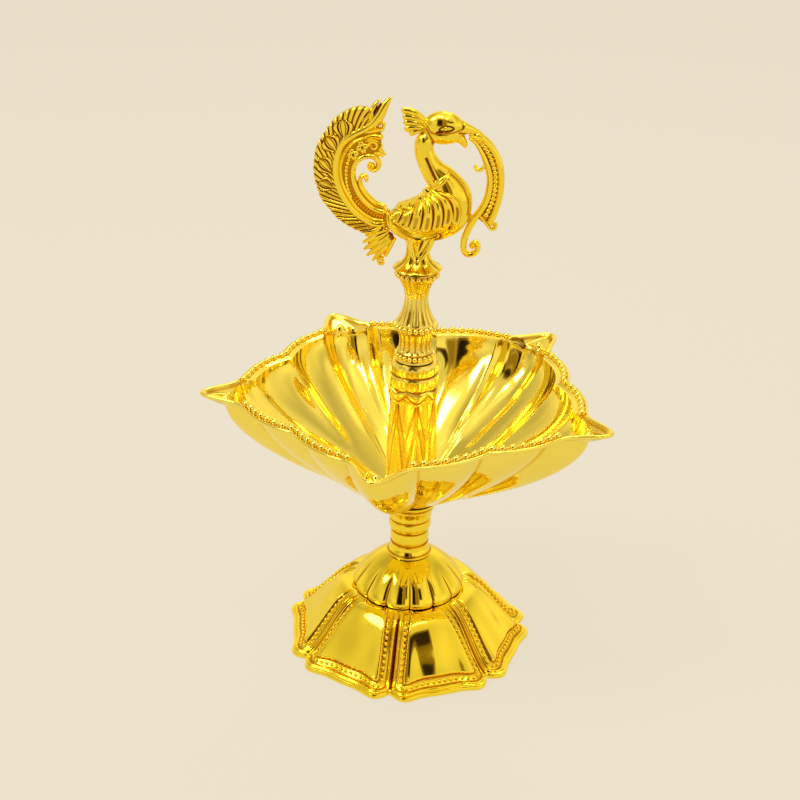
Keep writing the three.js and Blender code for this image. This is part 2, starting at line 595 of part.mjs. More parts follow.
function peacockBody() {
  const pedestal = toManifold(turned([
    [PEG_RADIUS - 0.4, BIRD_BASE - PEG_LENGTH], [PEG_RADIUS, BIRD_BASE - PEG_LENGTH + 0.4],
    [PEG_RADIUS, BIRD_BASE], [PEDESTAL_RADIUS - 0.7, BIRD_BASE], [PEDESTAL_RADIUS, up(0.7)],
    [PEDESTAL_RADIUS - 1.8, up(1.9)], [PEDESTAL_NECK + 1.4, up(3.6)], [PEDESTAL_NECK + 0.4, up(5.4)],
    [PEDESTAL_NECK, up(7.4)], [PEDESTAL_NECK + 0.4, up(9.6)], [PEDESTAL_NECK + 1.2, up(13)],
    [PEDESTAL_NECK, up(17)],
  ], evenAngles(20), false));
  const crestTips = [[-6.3, 54.8], [-6.2, 52.8], [-5.9, 50.6], [-5.2, 48.4], [-3, 46.4]];
  const crest = crestTips.map(([x, height]) => limb([
    [3, up(49), 0.8, 0.8], [(x + 1.5) / 2, up((height + 49) / 2), 1.0, 0.8], [x, up(height), 0.7, 0.5],
  ], { sides: 6, steps: 4 }));
  const sides = [-1, 1].flatMap((side) => [
    ellipsoid([0.6, side * 4.4 * BIRD_THICKNESS, up(19.6)], [8.2, 2.6 * BIRD_THICKNESS, 4.9], 20),
    limb([
      [2.2, up(14), 2.8, 1.5], [1.2, up(8.4), 2.2, 1.3], [-0.6, up(2.8), 0.4, 0.5],
    ], { sides: 6, steps: 5, y: side * 2.9 * BIRD_THICKNESS }),
  ]);
  return toGeometry(unite([birdTrunk(0), pedestal, ...crest, ...sides]));
}

// Tail: a crescent between an outer edge of feather tips and an inner edge, with two ribs
function tailCrescent() {
  const outerEdge = [
    [-12.6, 58.4], [-19, 56.2], [-24.6, 53.8], [-29.8, 50.1], [-33.4, 44.6], [-34.9, 38], [-34.7, 31],
    [-33, 24.6], [-29.4, 19.2], [-24.4, 15.8], [-18.6, 13.6], [-13.2, 14.6],
  ];
  const innerEdge = [
    [-11.4, 49.2], [-12.4, 42.6], [-16.8, 40], [-20.4, 38.6], [-21.9, 36.4], [-22, 33.6], [-21.2, 30.2],
    [-19.4, 27.2], [-17, 24.6], [-14.2, 22.6], [-13, 21.8], [-12.2, 21.3],
  ];
  const asCurve = (edge) => new THREE.CatmullRomCurve3(edge.map(([x, h]) => new THREE.Vector3(x, 0, up(h))));
  const outerCurve = asCurve(outerEdge);
  const innerCurve = asCurve(innerEdge);
  const section = [[0, 0.45], [0.42, 1.1], [0.5, 2.0], [0.62, 2.0], [0.7, 1.0], [0.84, 1.0], [0.92, 1.7], [1, 1.2]];
  const steps = FEATHERS * 2;
  const rings = [];
  for (let s = 0; s <= steps; s++) {
    const t = s / steps;
    const outer = outerCurve.getPoint(t);
    const inner = innerCurve.getPoint(t);
    const width = outer.distanceTo(inner);
    const scallop = 0.9 * Math.abs(Math.sin(Math.PI * FEATHERS * t)) / width;
    const at = (share, half) => {
      const place = outer.clone().lerp(inner, share - (1 - share) * (scallop - 0.45 / width));
      return [place.x, half * BIRD_THICKNESS, place.z];
    };
    const front = section.map(([share, half]) => at(share, -half));
    const back = section.map(([share, half]) => at(share, half)).reverse();
    rings.push([...front, ...back]);
  }
  return toManifold(skin(rings, false));
}

function peacockTail() {
  const tip = limb([
    [-15.4, up(49), 1.8, 1.2], [-12.6, up(53), 2.1, 1.4], [-9.4, up(58.9), 0.4, 0.5],
  ], { steps: 6 });
  const leaf = limb([
    [-16, up(41.4), 1.4, 1.2], [-13, up(41.4), 1.3, 1.0], [-11, up(40.6), 0.4, 0.5],
  ], { steps: 5 });
  const scroll = curl([-16, up(36.4)], 3.5, 0.9, 120, -330, 1.1);
  const smallCurl = curl([-19.7, up(31.4)], 1.8, 0.6, -130, 320, 0.8);
  const tuftTips = [[-18.2, 11.8], [-17.4, 8.2], [-15.4, 5.2], [-12.4, 2]];
  const tuft = tuftTips.map(([x, height]) => limb([
    [-12.8, up(16.6), 1.2, 1.2], [(x - 12) / 2, up((height + 15) / 2), 1.5, 1.2], [x, up(height), 0.8, 0.6],
  ], { sides: 6, steps: 5 }));
  const whole = unite([tailCrescent(), tip, leaf, scroll, smallCurl, ...tuft]);
  return toGeometry(whole.subtract(birdTrunk(SEAT_GAP)));
}

// Garland: a curved band from the beak, a hook, an end scroll and a stem that curls below the breast
function beakGarland() {
  const band = limb([
    [16.4, up(46.4), 0.8, 0.9], [19.8, up(44.4), 1.8, 1.4], [23.2, up(39.2), 2.2, 1.6],
    [25.3, up(32.4), 2.2, 1.6], [25, up(25), 2.4, 1.6], [22.8, up(19.4), 2.3, 1.5],
  ], { sides: 10, steps: 14 });
  const stem = limb([
    [22.4, up(20.6), 1.8, 1.4], [19.8, up(18), 1.5, 1.3], [17.2, up(14), 1.4, 1.2], [15.4, up(10.2), 1.2, 1.2],
  ], { steps: 9 });
  const scroll = curl([18.1, up(9.2)], 2.7, 0.7, 170, 330, 1.15);
  const endScroll = curl([24.2, up(16.6)], 1.9, 0.5, 100, -330, 1.1);
  const hook = curl([19.9, up(37.6)], 2.1, 1.0, 40, -230, 0.75);
  return toGeometry(unite([band, stem, scroll, endScroll, hook]).subtract(birdTrunk(SEAT_GAP)));
}

function brass(color, roughness) {
  return new THREE.MeshStandardMaterial({ color, roughness, metalness: 1 });
}

// Places the stem's axis so that the lamp's plan box is centred on the origin
function planShift() {
  const tips = Array.from({ length: SPOUT_COUNT }, (_, i) => (
    around(SPOUT_TURN + (360 * i) / SPOUT_COUNT, SPOUT_TIP_RADIUS, 0)
  ));
  return [0, 1].map((k) => {
    const values = tips.map((tip) => tip[k]);
    return -(Math.min(...values) + Math.max(...values)) / 2;
  });
}

const pieces = [
  ['foot_skirt', footSkirt(), brass(0xe8bd2c, 0.14)],
  ['foot_dome', footDome(), brass(0xeac22f, 0.1)],
  ['foot_washer', plainRing(TAIL_BORE, WASHER_RADIUS, WASHER_TOP - WASHER_THICKNESS, WASHER_THICKNESS, 24),
    brass(0xb99440, 0.4)],
  ['foot_nut', footNut(), brass(0xb99440, 0.35)],
  ['lower_stem', lowerStem(), brass(0xe8c030, 0.12)],
  ['bowl_seal', plainRing(PILLAR_BORE, SEAL_RADIUS, SEAL_BASE, SEAL_THICKNESS, 24),
    new THREE.MeshStandardMaterial({ color: 0x5c2f1c, roughness: 0.8, metalness: 0 })],
  ['bowl', bowl(), brass(0xecc534, 0.1)],
  ['column_sleeve', columnSleeve(), brass(0xe6bd2c, 0.14)],
  ['column_vase', columnVase(), brass(0xe6bd2c, 0.16)],
  ['peacock_body', peacockBody(), brass(0xe4b828, 0.16)],
  ['peacock_tail', peacockTail(), brass(0xdcae26, 0.2)],
  ['beak_garland', beakGarland(), brass(0xdcae26, 0.2)],
];

const lamp = new THREE.Group();
const [shiftX, shiftY] = planShift();
lamp.position.set(shiftX, shiftY, 0);
for (const [name, geometry, material] of pieces) {
  const mesh = new THREE.Mesh(geometry, material);
  mesh.name = name;
  lamp.add(mesh);
}

export default lamp;
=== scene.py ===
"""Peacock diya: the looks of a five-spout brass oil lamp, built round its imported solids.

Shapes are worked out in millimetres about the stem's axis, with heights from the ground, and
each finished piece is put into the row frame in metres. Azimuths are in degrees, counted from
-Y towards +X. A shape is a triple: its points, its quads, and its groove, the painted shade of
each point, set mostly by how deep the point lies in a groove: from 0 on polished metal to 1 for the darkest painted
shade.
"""

import bmesh
import bpy
import numpy as np
from mathutils import Euler, Matrix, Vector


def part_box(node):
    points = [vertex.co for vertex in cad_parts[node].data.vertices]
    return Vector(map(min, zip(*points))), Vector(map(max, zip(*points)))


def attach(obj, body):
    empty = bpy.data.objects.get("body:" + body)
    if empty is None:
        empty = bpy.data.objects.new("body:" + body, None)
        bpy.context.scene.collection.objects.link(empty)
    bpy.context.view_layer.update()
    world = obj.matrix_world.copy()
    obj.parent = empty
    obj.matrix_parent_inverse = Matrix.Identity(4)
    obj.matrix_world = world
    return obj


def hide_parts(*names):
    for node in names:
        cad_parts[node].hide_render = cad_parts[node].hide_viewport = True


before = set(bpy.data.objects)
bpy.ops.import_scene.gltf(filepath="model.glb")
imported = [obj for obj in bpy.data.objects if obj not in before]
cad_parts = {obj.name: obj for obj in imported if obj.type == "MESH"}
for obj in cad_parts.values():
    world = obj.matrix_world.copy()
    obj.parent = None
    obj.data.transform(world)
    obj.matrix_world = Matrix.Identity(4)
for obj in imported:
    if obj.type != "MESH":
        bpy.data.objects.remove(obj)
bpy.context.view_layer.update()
stem_low, stem_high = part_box("lower_stem")
STEM_AXIS = (np.array(stem_low) + np.array(stem_high)) / 2 * (1, 1, 0)

# Stack of seats, in millimetres from the ground
SKIRT_TOP = 22.1
WEB_BOTTOM = 20.1
TAIL_END = 11.9
DOME_BASE = 22.4
DOME_TOP = 35.4
STEM_BASE = 35.7
STEM_TOP = 57.9
BOWL_BASE = 59.3
BOWL_RIM = 102.8
SLEEVE_BASE = 61.6
VASE_BASE = 113.5
BIRD_BASE = 146.1

# Threads
THREAD_PITCH = 1.25
THREAD_DEPTH = 0.14

# Foot
PETALS = 7
PETAL_TURN = -7.98
RIM_RADIUS = 43.3
RIM_CORNER = 2.8
RIM_NICK = 0.9
BEADED_RIM = 43.9
BORDER_CORNER = 2.2
SKIRT_INNER = 21.1
RIM_ROLL = 2.4
BEAD_INSET = 3.05
DOME_LOBES = 14
DOME_TURN = 1.8

# Bowl
SPOUTS = 5
SPOUT_TURN = -10.16
TIP_RADIUS = 75.0
LIP_LENGTH = 12.7
SIDE_WAIST = 6.1
LOBE_HALF = 12.0
SEAT_RADIUS = 11.0
FLANGE = 3.4
KEEL_NOSE = 7.5
BOWL_WALL = 2.0
EDGE_RADIUS = 0.68
SPOUT_PITCH = 72

# Pillar and vase
LEAVES = 7
LEAF_TURN = 33.71
PANEL_TURN = 8
FLUTES = 16

# Head of the bird: x, height, half length, half height and half width of two ellipsoids
CAP = (7.0, 49.9, 6.6, 4.8, 4.4)
JAW = (7.3, 47.3, 6.4, 3.6, 3.9)


def around(degrees, radius, height):
    """Points at an azimuth: the radius times its sine and minus its cosine, and the height."""
    turn = np.radians(degrees)
    return np.stack(np.broadcast_arrays(radius * np.sin(turn), -radius * np.cos(turn), height), -1)


def rise(value, start, end):
    """Smooth step: 0 before start, 1 after end, and 3s² - 2s³ of the share s between them."""
    share = np.clip((value - start) / (end - start), 0, 1)
    return share * share * (3 - 2 * share)


def bump(value, centre, width):
    """Bell of height 1: the exponential of minus the square of the distance over the width."""
    return np.exp(-(((value - centre) / width) ** 2))


def within(degrees, turn, count):
    """Place of an azimuth in its division of the circle, from -1 to 1."""
    pitch = 360 / count
    return 2 * ((degrees - turn) % pitch) / pitch - 1


def smooth_line(points, count, plane=2):
    """Catmull-Rom curve through the points, resampled evenly by the length of its first columns."""
    p = np.asarray(points, float)
    p = np.vstack([2 * p[0] - p[1], p, 2 * p[-1] - p[-2]])
    spans = len(p) - 3
    u = np.linspace(0, spans, 40 * spans + 1)
    i = np.minimum(u.astype(int), spans - 1)
    f = (u - i)[:, None]
    a, b, c, d = p[i], p[i + 1], p[i + 2], p[i + 3]
    fine = b + f / 2 * (c - a + f * (2 * a - 5 * b + 4 * c - d + f * (3 * (b - c) + d - a)))
    run = np.append(0, np.cumsum(np.linalg.norm(np.diff(fine[:, :plane], axis=0), axis=1)))
    even = np.linspace(0, run[-1], count)
    return np.stack([np.interp(even, run, column) for column in fine.T], -1)


def profile(*parts, step=0.35):
    """Radius and height stations: lists of points, each smoothed on its own, joined at corners."""
    rows = []
    for part in parts:
        length = np.sum(np.linalg.norm(np.diff(np.asarray(part, float), axis=0), axis=1))
        rows.append(smooth_line(part, max(2, int(length / step) + 2)))
    return np.vstack(rows)


def quads_between(index):
    """Quads between the neighbours in a grid of point numbers."""
    return np.stack([index[:-1, :-1], index[:-1, 1:], index[1:, 1:], index[1:, :-1]], -1).reshape(-1, 4)


def sheet(grid, groove=0.0, loop=False):
    """Quads over a grid of points whose last column joins the first; loop joins the rows as well."""
    rows, columns = grid.shape[:2]
    index = np.arange(rows * columns).reshape(rows, columns)
    index = np.hstack([index, index[:, :1]])
    if loop:
        index = np.vstack([index, index[:1]])
    quads = quads_between(index)
    points = grid.reshape(-1, 3)
    a, b, c, d = (points[quads[:, k]] for k in range(4))
    volume = np.sum(a * np.cross(b, c)) + np.sum(a * np.cross(c, d))
    if volume < 0:
        quads = quads[:, ::-1]
    return points, quads, np.broadcast_to(groove, (rows, columns)).ravel()


def slab(front, back, front_groove, back_groove):
    """Closed plate between a front and a back grid; its first and last rows close on their middles."""
    grid = np.concatenate([front, back[:, ::-1]], 1)
    groove = np.concatenate([front_groove, back_groove[:, ::-1]], 1)
    first, last = (np.repeat(row.mean(0)[None, None], grid.shape[1], 1) for row in (grid[0], grid[-1]))
    return sheet(np.concatenate([first, grid, last]), np.vstack([groove[:1], groove, groove[-1:]]))


def helix(angle, height):
    """Swing of a thread at an azimuth and a height, from -1 to 1."""
    return np.cos(2 * np.pi * (height / THREAD_PITCH - angle / 360))


def turned(stations, columns=128, thread=()):
    """Solid of revolution through (radius, height) stations, from the axis back to the axis.

    thread lists (low, high) heights between which a thread is cut.
    """
    angle = np.arange(columns) * 360 / columns
    radius = np.repeat(stations[:, :1], columns, 1)
    height = np.repeat(stations[:, 1:2], columns, 1)
    cut = np.zeros(1)
    for low, high in thread:
        cut = cut + rise(height, low, low + 1) * rise(-height, -high, 1 - high)
    radius = radius + THREAD_DEPTH * cut * helix(angle, height) * (radius > 1)
    # The threaded band takes a light painted shade, 0.25.
    return sheet(around(angle, radius, height), 0.25 * cut)


def joined(shapes):
    """One shape out of several: points and depths stacked, quads moved on by the points before them."""
    start = np.cumsum([0] + [len(points) for points, _, _ in shapes])
    return (
        np.vstack([points for points, _, _ in shapes]),
        np.vstack([quads + first for (_, quads, _), first in zip(shapes, start)]),
        np.concatenate([groove for _, _, groove in shapes]),
    )


def normals_of(points, quads):
    """Unit normal of each point: the cross products of its quads' diagonals, summed."""
    face = np.cross(points[quads[:, 2]] - points[quads[:, 0]], points[quads[:, 3]] - points[quads[:, 1]])
    total = np.zeros_like(points)
    for k in range(4):
        np.add.at(total, quads[:, k], face)
    return total / np.maximum(np.linalg.norm(total, axis=1, keepdims=True), 1e-12)


def mesh_of(name, shape):
    """Mesh from a shape, in metres in the row frame, with its depths as the attribute groove."""
    points, quads, groove = shape
    mesh = bpy.data.meshes.new(name)
    mesh.vertices.add(len(points))
    mesh.vertices.foreach_set("co", (points / 1000 + STEM_AXIS).astype(np.float32).ravel())
    mesh.loops.add(quads.size)
    mesh.loops.foreach_set("vertex_index", quads.ravel().astype(np.int32))
    mesh.polygons.add(len(quads))
    mesh.polygons.foreach_set("loop_start", np.arange(0, quads.size, 4, dtype=np.int32))
    mesh.attributes.new("groove", "FLOAT", "POINT").data.foreach_set("value", groove.astype(np.float32))
    mesh.update(calc_edges=True)
    mesh.validate()
    return mesh


def placed(name, data):
    """Object in the scene with a mesh, a lamp or a camera as its data."""
    thing = bpy.data.objects.new(name, data)
    bpy.context.scene.collection.objects.link(thing)
    return thing


def piece(name, shapes, body, material, nodes, crisp=42):
    """Object from closed shapes: poles merged, smooth but for edges past crisp degrees."""
    mesh = mesh_of(name, joined(shapes))
    work = bmesh.new()
    work.from_mesh(mesh)
    bmesh.ops.remove_doubles(work, verts=work.verts, dist=2e-7)
    work.to_mesh(mesh)
    work.free()
    mesh.polygons.foreach_set("use_smooth", np.ones(len(mesh.polygons), bool))
    mesh.set_sharp_from_angle(angle=np.radians(crisp))
    mesh.materials.append(material)
    thing = placed(name, mesh)
    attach(thing, body)
    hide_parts(*nodes)
    return thing


def studs(centres, radius, stretch=1.0, along=None, sides=8, rings=5):
    """Round beads: a unit sphere on each centre, drawn out by stretch along a direction."""
    polar = np.linspace(0, np.pi, rings + 1)[:, None]
    turn = np.arange(sides) * 2 * np.pi / sides
    unit = [np.sin(polar) * np.cos(turn), np.sin(polar) * np.sin(turn), np.cos(polar) + 0 * turn]
    flat, quads, _ = sheet(np.stack(unit, -1))
    size = np.broadcast_to(radius, (len(centres),))[:, None, None]
    bodies = np.repeat(flat[None], len(centres), 0)
    if along is not None:
        along = along / np.linalg.norm(along, axis=1, keepdims=True)
        bodies = bodies + (stretch - 1) * np.einsum("npk,nk->np", bodies, along)[..., None] * along[:, None]
    points = (centres[:, None] + bodies * size).reshape(-1, 3)
    quads = (quads[None] + np.arange(len(centres))[:, None, None] * len(flat)).reshape(-1, 4)
    return points, quads, np.zeros(len(points))


def ring_studs(count, radius, height, size, turn=0.0):
    """A level ring of beads."""
    return studs(around(turn + np.arange(count) * 360 / count, radius, height), size)


def evenly(path, pitch):
    """Points a pitch apart along a path of points, both ends kept, and the path's direction there."""
    run = np.append(0, np.cumsum(np.linalg.norm(np.diff(path, axis=0), axis=1)))
    places = np.linspace(0, run[-1], max(2, int(round(run[-1] / pitch)) + 1))
    centres = np.stack([np.interp(places, run, column) for column in path.T], -1)
    return centres, np.gradient(centres, axis=0)


def sweep(line, width, depth, out=(0.0, -1.0, 0.0), sides=10, groove=0.0):
    """Strip carried along a line: an ellipse, width across the line and depth along out, ends rounded."""
    tangent = np.gradient(line, axis=0)
    tangent /= np.linalg.norm(tangent, axis=1, keepdims=True)
    across = np.cross(tangent, np.broadcast_to(out, line.shape))
    across /= np.linalg.norm(across, axis=1, keepdims=True)
    out = np.cross(across, tangent)
    run = np.append(0, np.cumsum(np.linalg.norm(np.diff(line, axis=0), axis=1)))
    nearest = np.minimum(run, run[-1] - run)
    ends = np.sqrt(np.clip(1 - (1 - np.minimum(nearest / np.maximum(width, 0.25), 1)) ** 2, 0, 1))
    ends[[0, -1]] = 0
    turn = np.arange(sides) * 2 * np.pi / sides
    grid = line[:, None] + (
        (width * ends)[:, None, None] * np.cos(turn)[None, :, None] * across[:, None]
        + (depth * ends)[:, None, None] * np.sin(turn)[None, :, None] * out[:, None]
    )
    return sheet(grid, groove)


def on_bird(x, height, y=0.0):
    """Points of the bird: x and heights from its base, in its own plane or y in front of it."""
    return np.stack(np.broadcast_arrays(x, y, BIRD_BASE + np.asarray(height, float)), -1)


def strip(controls, steps=26, y=0.0, sides=10, groove=0.0):
    """Sweep in the bird's plane along controls of [x, height, half width, half depth]."""
    x, height, half, depth = smooth_line(controls, steps).T
    return sweep(on_bird(x, height, y), half, depth, sides=sides, groove=groove)


def curl(centre, outer, inner, start, turn, half, depth, steps=40):
    """Spiral strip: the radius goes from outer to inner as the angle turns, and it thins by a third."""
    t = np.linspace(0, 1, steps)
    angle = np.radians(start + turn * t)
    radius = outer + (inner - outer) * t
    line = on_bird(centre[0] + radius * np.cos(angle), centre[1] + radius * np.sin(angle))
    return sweep(line, half * (1 - 0.3 * t), depth * (1 - 0.2 * t))


# Materials


def link(tree, source, output, target, socket):
    """Link from an output of one node to a socket of another."""
    tree.links.new(source.outputs[output], target.inputs[socket])


def brass(name, polished, warm, half_shade, deep_shade, roughness, marks):
    """Metal in three tones by the groove attribute, which paints shade on it: polished at 0, the orange half shade
    at 0.5 and the dark deep shade at 1.

    Clouds 20 mm wide warm the polished tone, and marks under 1 mm vary its gloss and wave it.
    """
    material = bpy.data.materials.new(name)
    material.use_nodes = True
    tree = material.node_tree
    shader = tree.nodes["Principled BSDF"]
    shader.inputs["Metallic"].default_value = 1.0
    shader.inputs["Specular Tint"].default_value = (1.0, 0.96, 0.8, 1)
    place = tree.nodes.new("ShaderNodeTexCoord")
    depth = tree.nodes.new("ShaderNodeAttribute")
    depth.attribute_name = "groove"
    cloud = tree.nodes.new("ShaderNodeTexNoise")
    cloud.inputs["Scale"].default_value = 48.0
    cloud.inputs["Detail"].default_value = 3.0
    fine = tree.nodes.new("ShaderNodeTexNoise")
    fine.inputs["Scale"].default_value = 1500.0
    fine.inputs["Detail"].default_value = 4.0
    tint = tree.nodes.new("ShaderNodeMix")
    tint.data_type = "RGBA"
    tint.inputs["A"].default_value = (*polished, 1)
    tint.inputs["B"].default_value = (*warm, 1)
    upper = tree.nodes.new("ShaderNodeMapRange")
    upper.inputs["From Max"].default_value = 0.5
    lower = tree.nodes.new("ShaderNodeMapRange")
    lower.inputs["From Min"].default_value = 0.5
    half_way = tree.nodes.new("ShaderNodeMix")
    half_way.data_type = "RGBA"
    half_way.inputs["B"].default_value = (*half_shade, 1)
    dark = tree.nodes.new("ShaderNodeMix")
    dark.data_type = "RGBA"
    dark.inputs["B"].default_value = (*deep_shade, 1)
    gloss = tree.nodes.new("ShaderNodeMapRange")
    gloss.inputs["From Min"].default_value = 0.35
    gloss.inputs["From Max"].default_value = 0.75
    gloss.inputs["To Min"].default_value = roughness * 0.75
    gloss.inputs["To Max"].default_value = roughness * 1.35
    dull = tree.nodes.new("ShaderNodeMath")
    dull.operation = "MULTIPLY_ADD"
    dull.inputs[1].default_value = 0.3
    wave = tree.nodes.new("ShaderNodeBump")
    wave.inputs["Strength"].default_value = marks
    wave.inputs["Distance"].default_value = 0.0002
    link(tree, place, "Object", cloud, "Vector")
    link(tree, place, "Object", fine, "Vector")
    link(tree, cloud, "Fac", tint, "Factor")
    link(tree, depth, "Fac", upper, "Value")
    link(tree, depth, "Fac", lower, "Value")
    link(tree, tint, "Result", half_way, "A")
    link(tree, upper, "Result", half_way, "Factor")
    link(tree, half_way, "Result", dark, "A")
    link(tree, lower, "Result", dark, "Factor")
    link(tree, dark, "Result", shader, "Base Color")
    link(tree, fine, "Fac", gloss, "Value")
    link(tree, depth, "Fac", dull, 0)
    link(tree, gloss, "Result", dull, 2)
    link(tree, dull, "Value", shader, "Roughness")
    link(tree, fine, "Fac", wave, "Height")
    link(tree, wave, "Normal", shader, "Normal")
    return material


def leather(name):
    """Oiled leather of the sealing ring: brown mottling 2 mm wide over a fine pebbled grain."""
    material = bpy.data.materials.new(name)
    material.use_nodes = True
    tree = material.node_tree
    shader = tree.nodes["Principled BSDF"]
    shader.inputs["Roughness"].default_value = 0.6
    place = tree.nodes.new("ShaderNodeTexCoord")
    mottle = tree.nodes.new("ShaderNodeTexNoise")
    mottle.inputs["Scale"].default_value = 500.0
    pebble = tree.nodes.new("ShaderNodeTexVoronoi")
    pebble.inputs["Scale"].default_value = 2500.0
    tone = tree.nodes.new("ShaderNodeMix")
    tone.data_type = "RGBA"
    tone.inputs["A"].default_value = (0.12, 0.045, 0.02, 1)
    tone.inputs["B"].default_value = (0.26, 0.11, 0.05, 1)
    grain = tree.nodes.new("ShaderNodeBump")
    grain.inputs["Strength"].default_value = 0.5
    grain.inputs["Distance"].default_value = 0.0002
    link(tree, place, "Object", mottle, "Vector")
    link(tree, place, "Object", pebble, "Vector")
    link(tree, mottle, "Fac", tone, "Factor")
    link(tree, tone, "Result", shader, "Base Color")
    link(tree, pebble, "Distance", grain, "Height")
    link(tree, grain, "Normal", shader, "Normal")
    return material


# Painted shade tones that the groove attribute mixes into the brass: a half shade and a deep shade for grooves and
# recesses.
PAINTED_HALF_SHADE = (0.72, 0.36, 0.008)
PAINTED_DEEP_SHADE = (0.22, 0.07, 0.001)
POLISHED = brass("polished_brass", (1.0, 0.80, 0.06), (1.0, 0.74, 0.035), PAINTED_HALF_SHADE, PAINTED_DEEP_SHADE, 0.06, 0.004)
BOWL_METAL = brass("bowl_brass", (0.98, 0.81, 0.15), (0.98, 0.77, 0.09), PAINTED_HALF_SHADE, PAINTED_DEEP_SHADE, 0.085, 0.004)
# Chased brass takes its own darker painted shade tones.
CHASED = brass(
    "chased_brass", (1.0, 0.79, 0.075), (1.0, 0.73, 0.04), (0.55, 0.25, 0.005), (0.14, 0.04, 0.001), 0.12, 0.01
)
COLUMN_METAL = brass(
    "column_brass", (0.97, 0.8, 0.17), (0.97, 0.75, 0.11), (0.62, 0.29, 0.006), PAINTED_DEEP_SHADE, 0.2, 0.02
)
PLAIN = brass(
    "plain_brass", (0.78, 0.6, 0.16), (0.68, 0.48, 0.1), (0.5, 0.3, 0.05), (0.2, 0.1, 0.02), 0.34, 0.1
)
SEAL = leather("seal_leather")


# Foot


def petal_rim(t):
    """Rim radius: a mid radius, two rounded corners sin²(π|t|^2.11) and a nick at the seam."""
    across = np.abs(t)
    return RIM_RADIUS + RIM_CORNER * np.sin(np.pi * across**2.11) ** 2 - RIM_NICK * bump(across, 1, 0.05)


def bell(x):
    """Radius share and height of the bell: half of 1 + cos πx, to the power 0.9."""
    return RIM_ROLL + (SKIRT_TOP - RIM_ROLL) * ((1 + np.cos(np.pi * np.clip(x, 0, 1))) / 2) ** 0.9


def skirt_surface(angle, x, lift=None):
    """Outside of the skirt: the bell, with borders and a raised panel measured from seam and rim.

    The distances to the seam and to the rim are joined by a soft minimum, minus the log of the
    sum of their negative exponentials, so that borders turn the petals' corners in a curve.
    """
    t = within(angle, PETAL_TURN, PETALS)
    span = petal_rim(t) - SKIRT_INNER
    radius = SKIRT_INNER + span * x
    seam = (1 - np.abs(t)) * np.pi / PETALS * radius
    rim = (1 - x) * span
    near = np.exp(-BORDER_CORNER * seam) + np.exp(-BORDER_CORNER * (rim - 0.5))
    inset = -np.log(near) / BORDER_CORNER
    edge = rise(rim, 0.0, 1.6)
    shown = np.minimum(1, 6 * x)
    channel = rise(inset, 1.75, 2.1) * rise(-inset, -4.35, -4.0)
    panel = rise(inset, 4.1, 4.8)
    height = shown * (
        -0.9 * bump(seam, 0, 0.42)
        + (0.3 * bump(inset, 1.0, 0.42) - 0.3 * bump(inset, 1.7, 0.2)) * edge
        - 0.27 * channel
        + panel * (0.3 + 0.7 * (1 - t**2))
    )
    # groove: painted shade on the seam, the border lines, the bead channel and the panel's edge
    groove = shown * np.clip(
        0.95 * bump(seam, 0, 0.42)
        + 0.5 * bump(inset, 1.7, 0.2) * edge
        + 0.12 * channel
        + 0.6 * bump(inset, 1.95, 0.16)
        + 0.75 * bump(inset, 4.2, 0.2),
        0,
        1,
    )
    if lift is not None:
        height = lift
    step = 1e-3
    fall = (bell(x - step) - bell(x + step)) / (2 * step)
    length = np.hypot(fall, span)
    return around(angle, radius + height * fall / length, bell(x) + height * span / length), groove


def petal_angles():
    """Azimuths round the foot, closer together near the seams."""
    inner = np.linspace(-0.6, 0.6, 30, endpoint=False)
    outer = 1 - 0.4 * np.linspace(0, 1, 34) ** 1.1
    t = np.concatenate([-outer, inner[1:], outer[::-1][:-1]])
    t = np.unique(np.round(t, 6))
    pitch = 360 / PETALS
    return (PETAL_TURN + pitch * (np.arange(PETALS)[:, None] + (t[None] + 1) / 2)).ravel()


def foot_skirt():
    """Foot: chased outside, rolled rim, hollow back and the web under the dome."""
    angle = petal_angles()
    x = np.concatenate([np.linspace(0, 0.72, 50, endpoint=False), np.linspace(0.72, 1, 46)])[:, None]
    outside, groove = skirt_surface(angle[None], x)
    rim = petal_rim(within(angle, PETAL_TURN, PETALS))[None]
    roll = np.radians(np.linspace(80, -90, 12))[:, None]
    rolled = around(angle[None], rim - 0.95 + 1.2 * np.cos(roll), 1.2 + 1.2 * np.sin(roll))
    land = around(angle[None], rim - 3.0, 0.0)
    back = np.linspace(0.9, 0.0, 14)[:, None]
    hollow = around(
        angle[None], SKIRT_INNER + (rim - SKIRT_INNER) * back - 1.6 * back, (bell(back) - 2.0).clip(0.6)
    )
    web = np.stack([around(angle, r, z) for r, z in ((4.3, WEB_BOTTOM), (4.3, SKIRT_TOP))])
    grid = np.concatenate([outside, rolled, land, hollow, web])
    depth = np.zeros(grid.shape[:2])
    depth[: len(groove)] = groove
    # Painted shade on the hollow back and the web under the dome.
    depth[len(groove) + 13 :] = 0.45
    return sheet(grid, depth, loop=True)


def petal_beads():
    """Beads 2.1 mm apart on a line BEAD_INSET inside each seam and half a millimetre more at the rim."""
    turn = np.linspace(0, np.pi / 2, 9)[1:-1]
    near, far = BEAD_INSET, BEAD_INSET + 1.6
    corner = np.stack([far - 1.6 * np.cos(turn), far - 1.6 * np.sin(turn)], -1)
    seam = np.concatenate([np.full(40, near), corner[:, 0], np.linspace(far, 18.5, 30)])
    rim = np.concatenate([np.linspace(21.6, far, 40), corner[:, 1], np.full(30, near)]) + 0.5
    half = 180 / PETALS
    beads = []
    for petal in range(PETALS):
        middle = PETAL_TURN + half * (2 * petal + 1)
        t = np.clip(1 - seam / (np.pi / PETALS * (BEADED_RIM - rim)), 0, 1)
        x = 1 - rim / (petal_rim(t) - SKIRT_INNER)
        for side in (-1, 1):
            path, _ = skirt_surface(middle + side * half * t, x, lift=np.full(len(x), 0.02))
            centres, along = evenly(path, 2.1)
            keep = slice(1, len(centres) - (side > 0))
            beads.append(studs(centres[keep], 0.72, 1.1, along[keep]))
    return beads


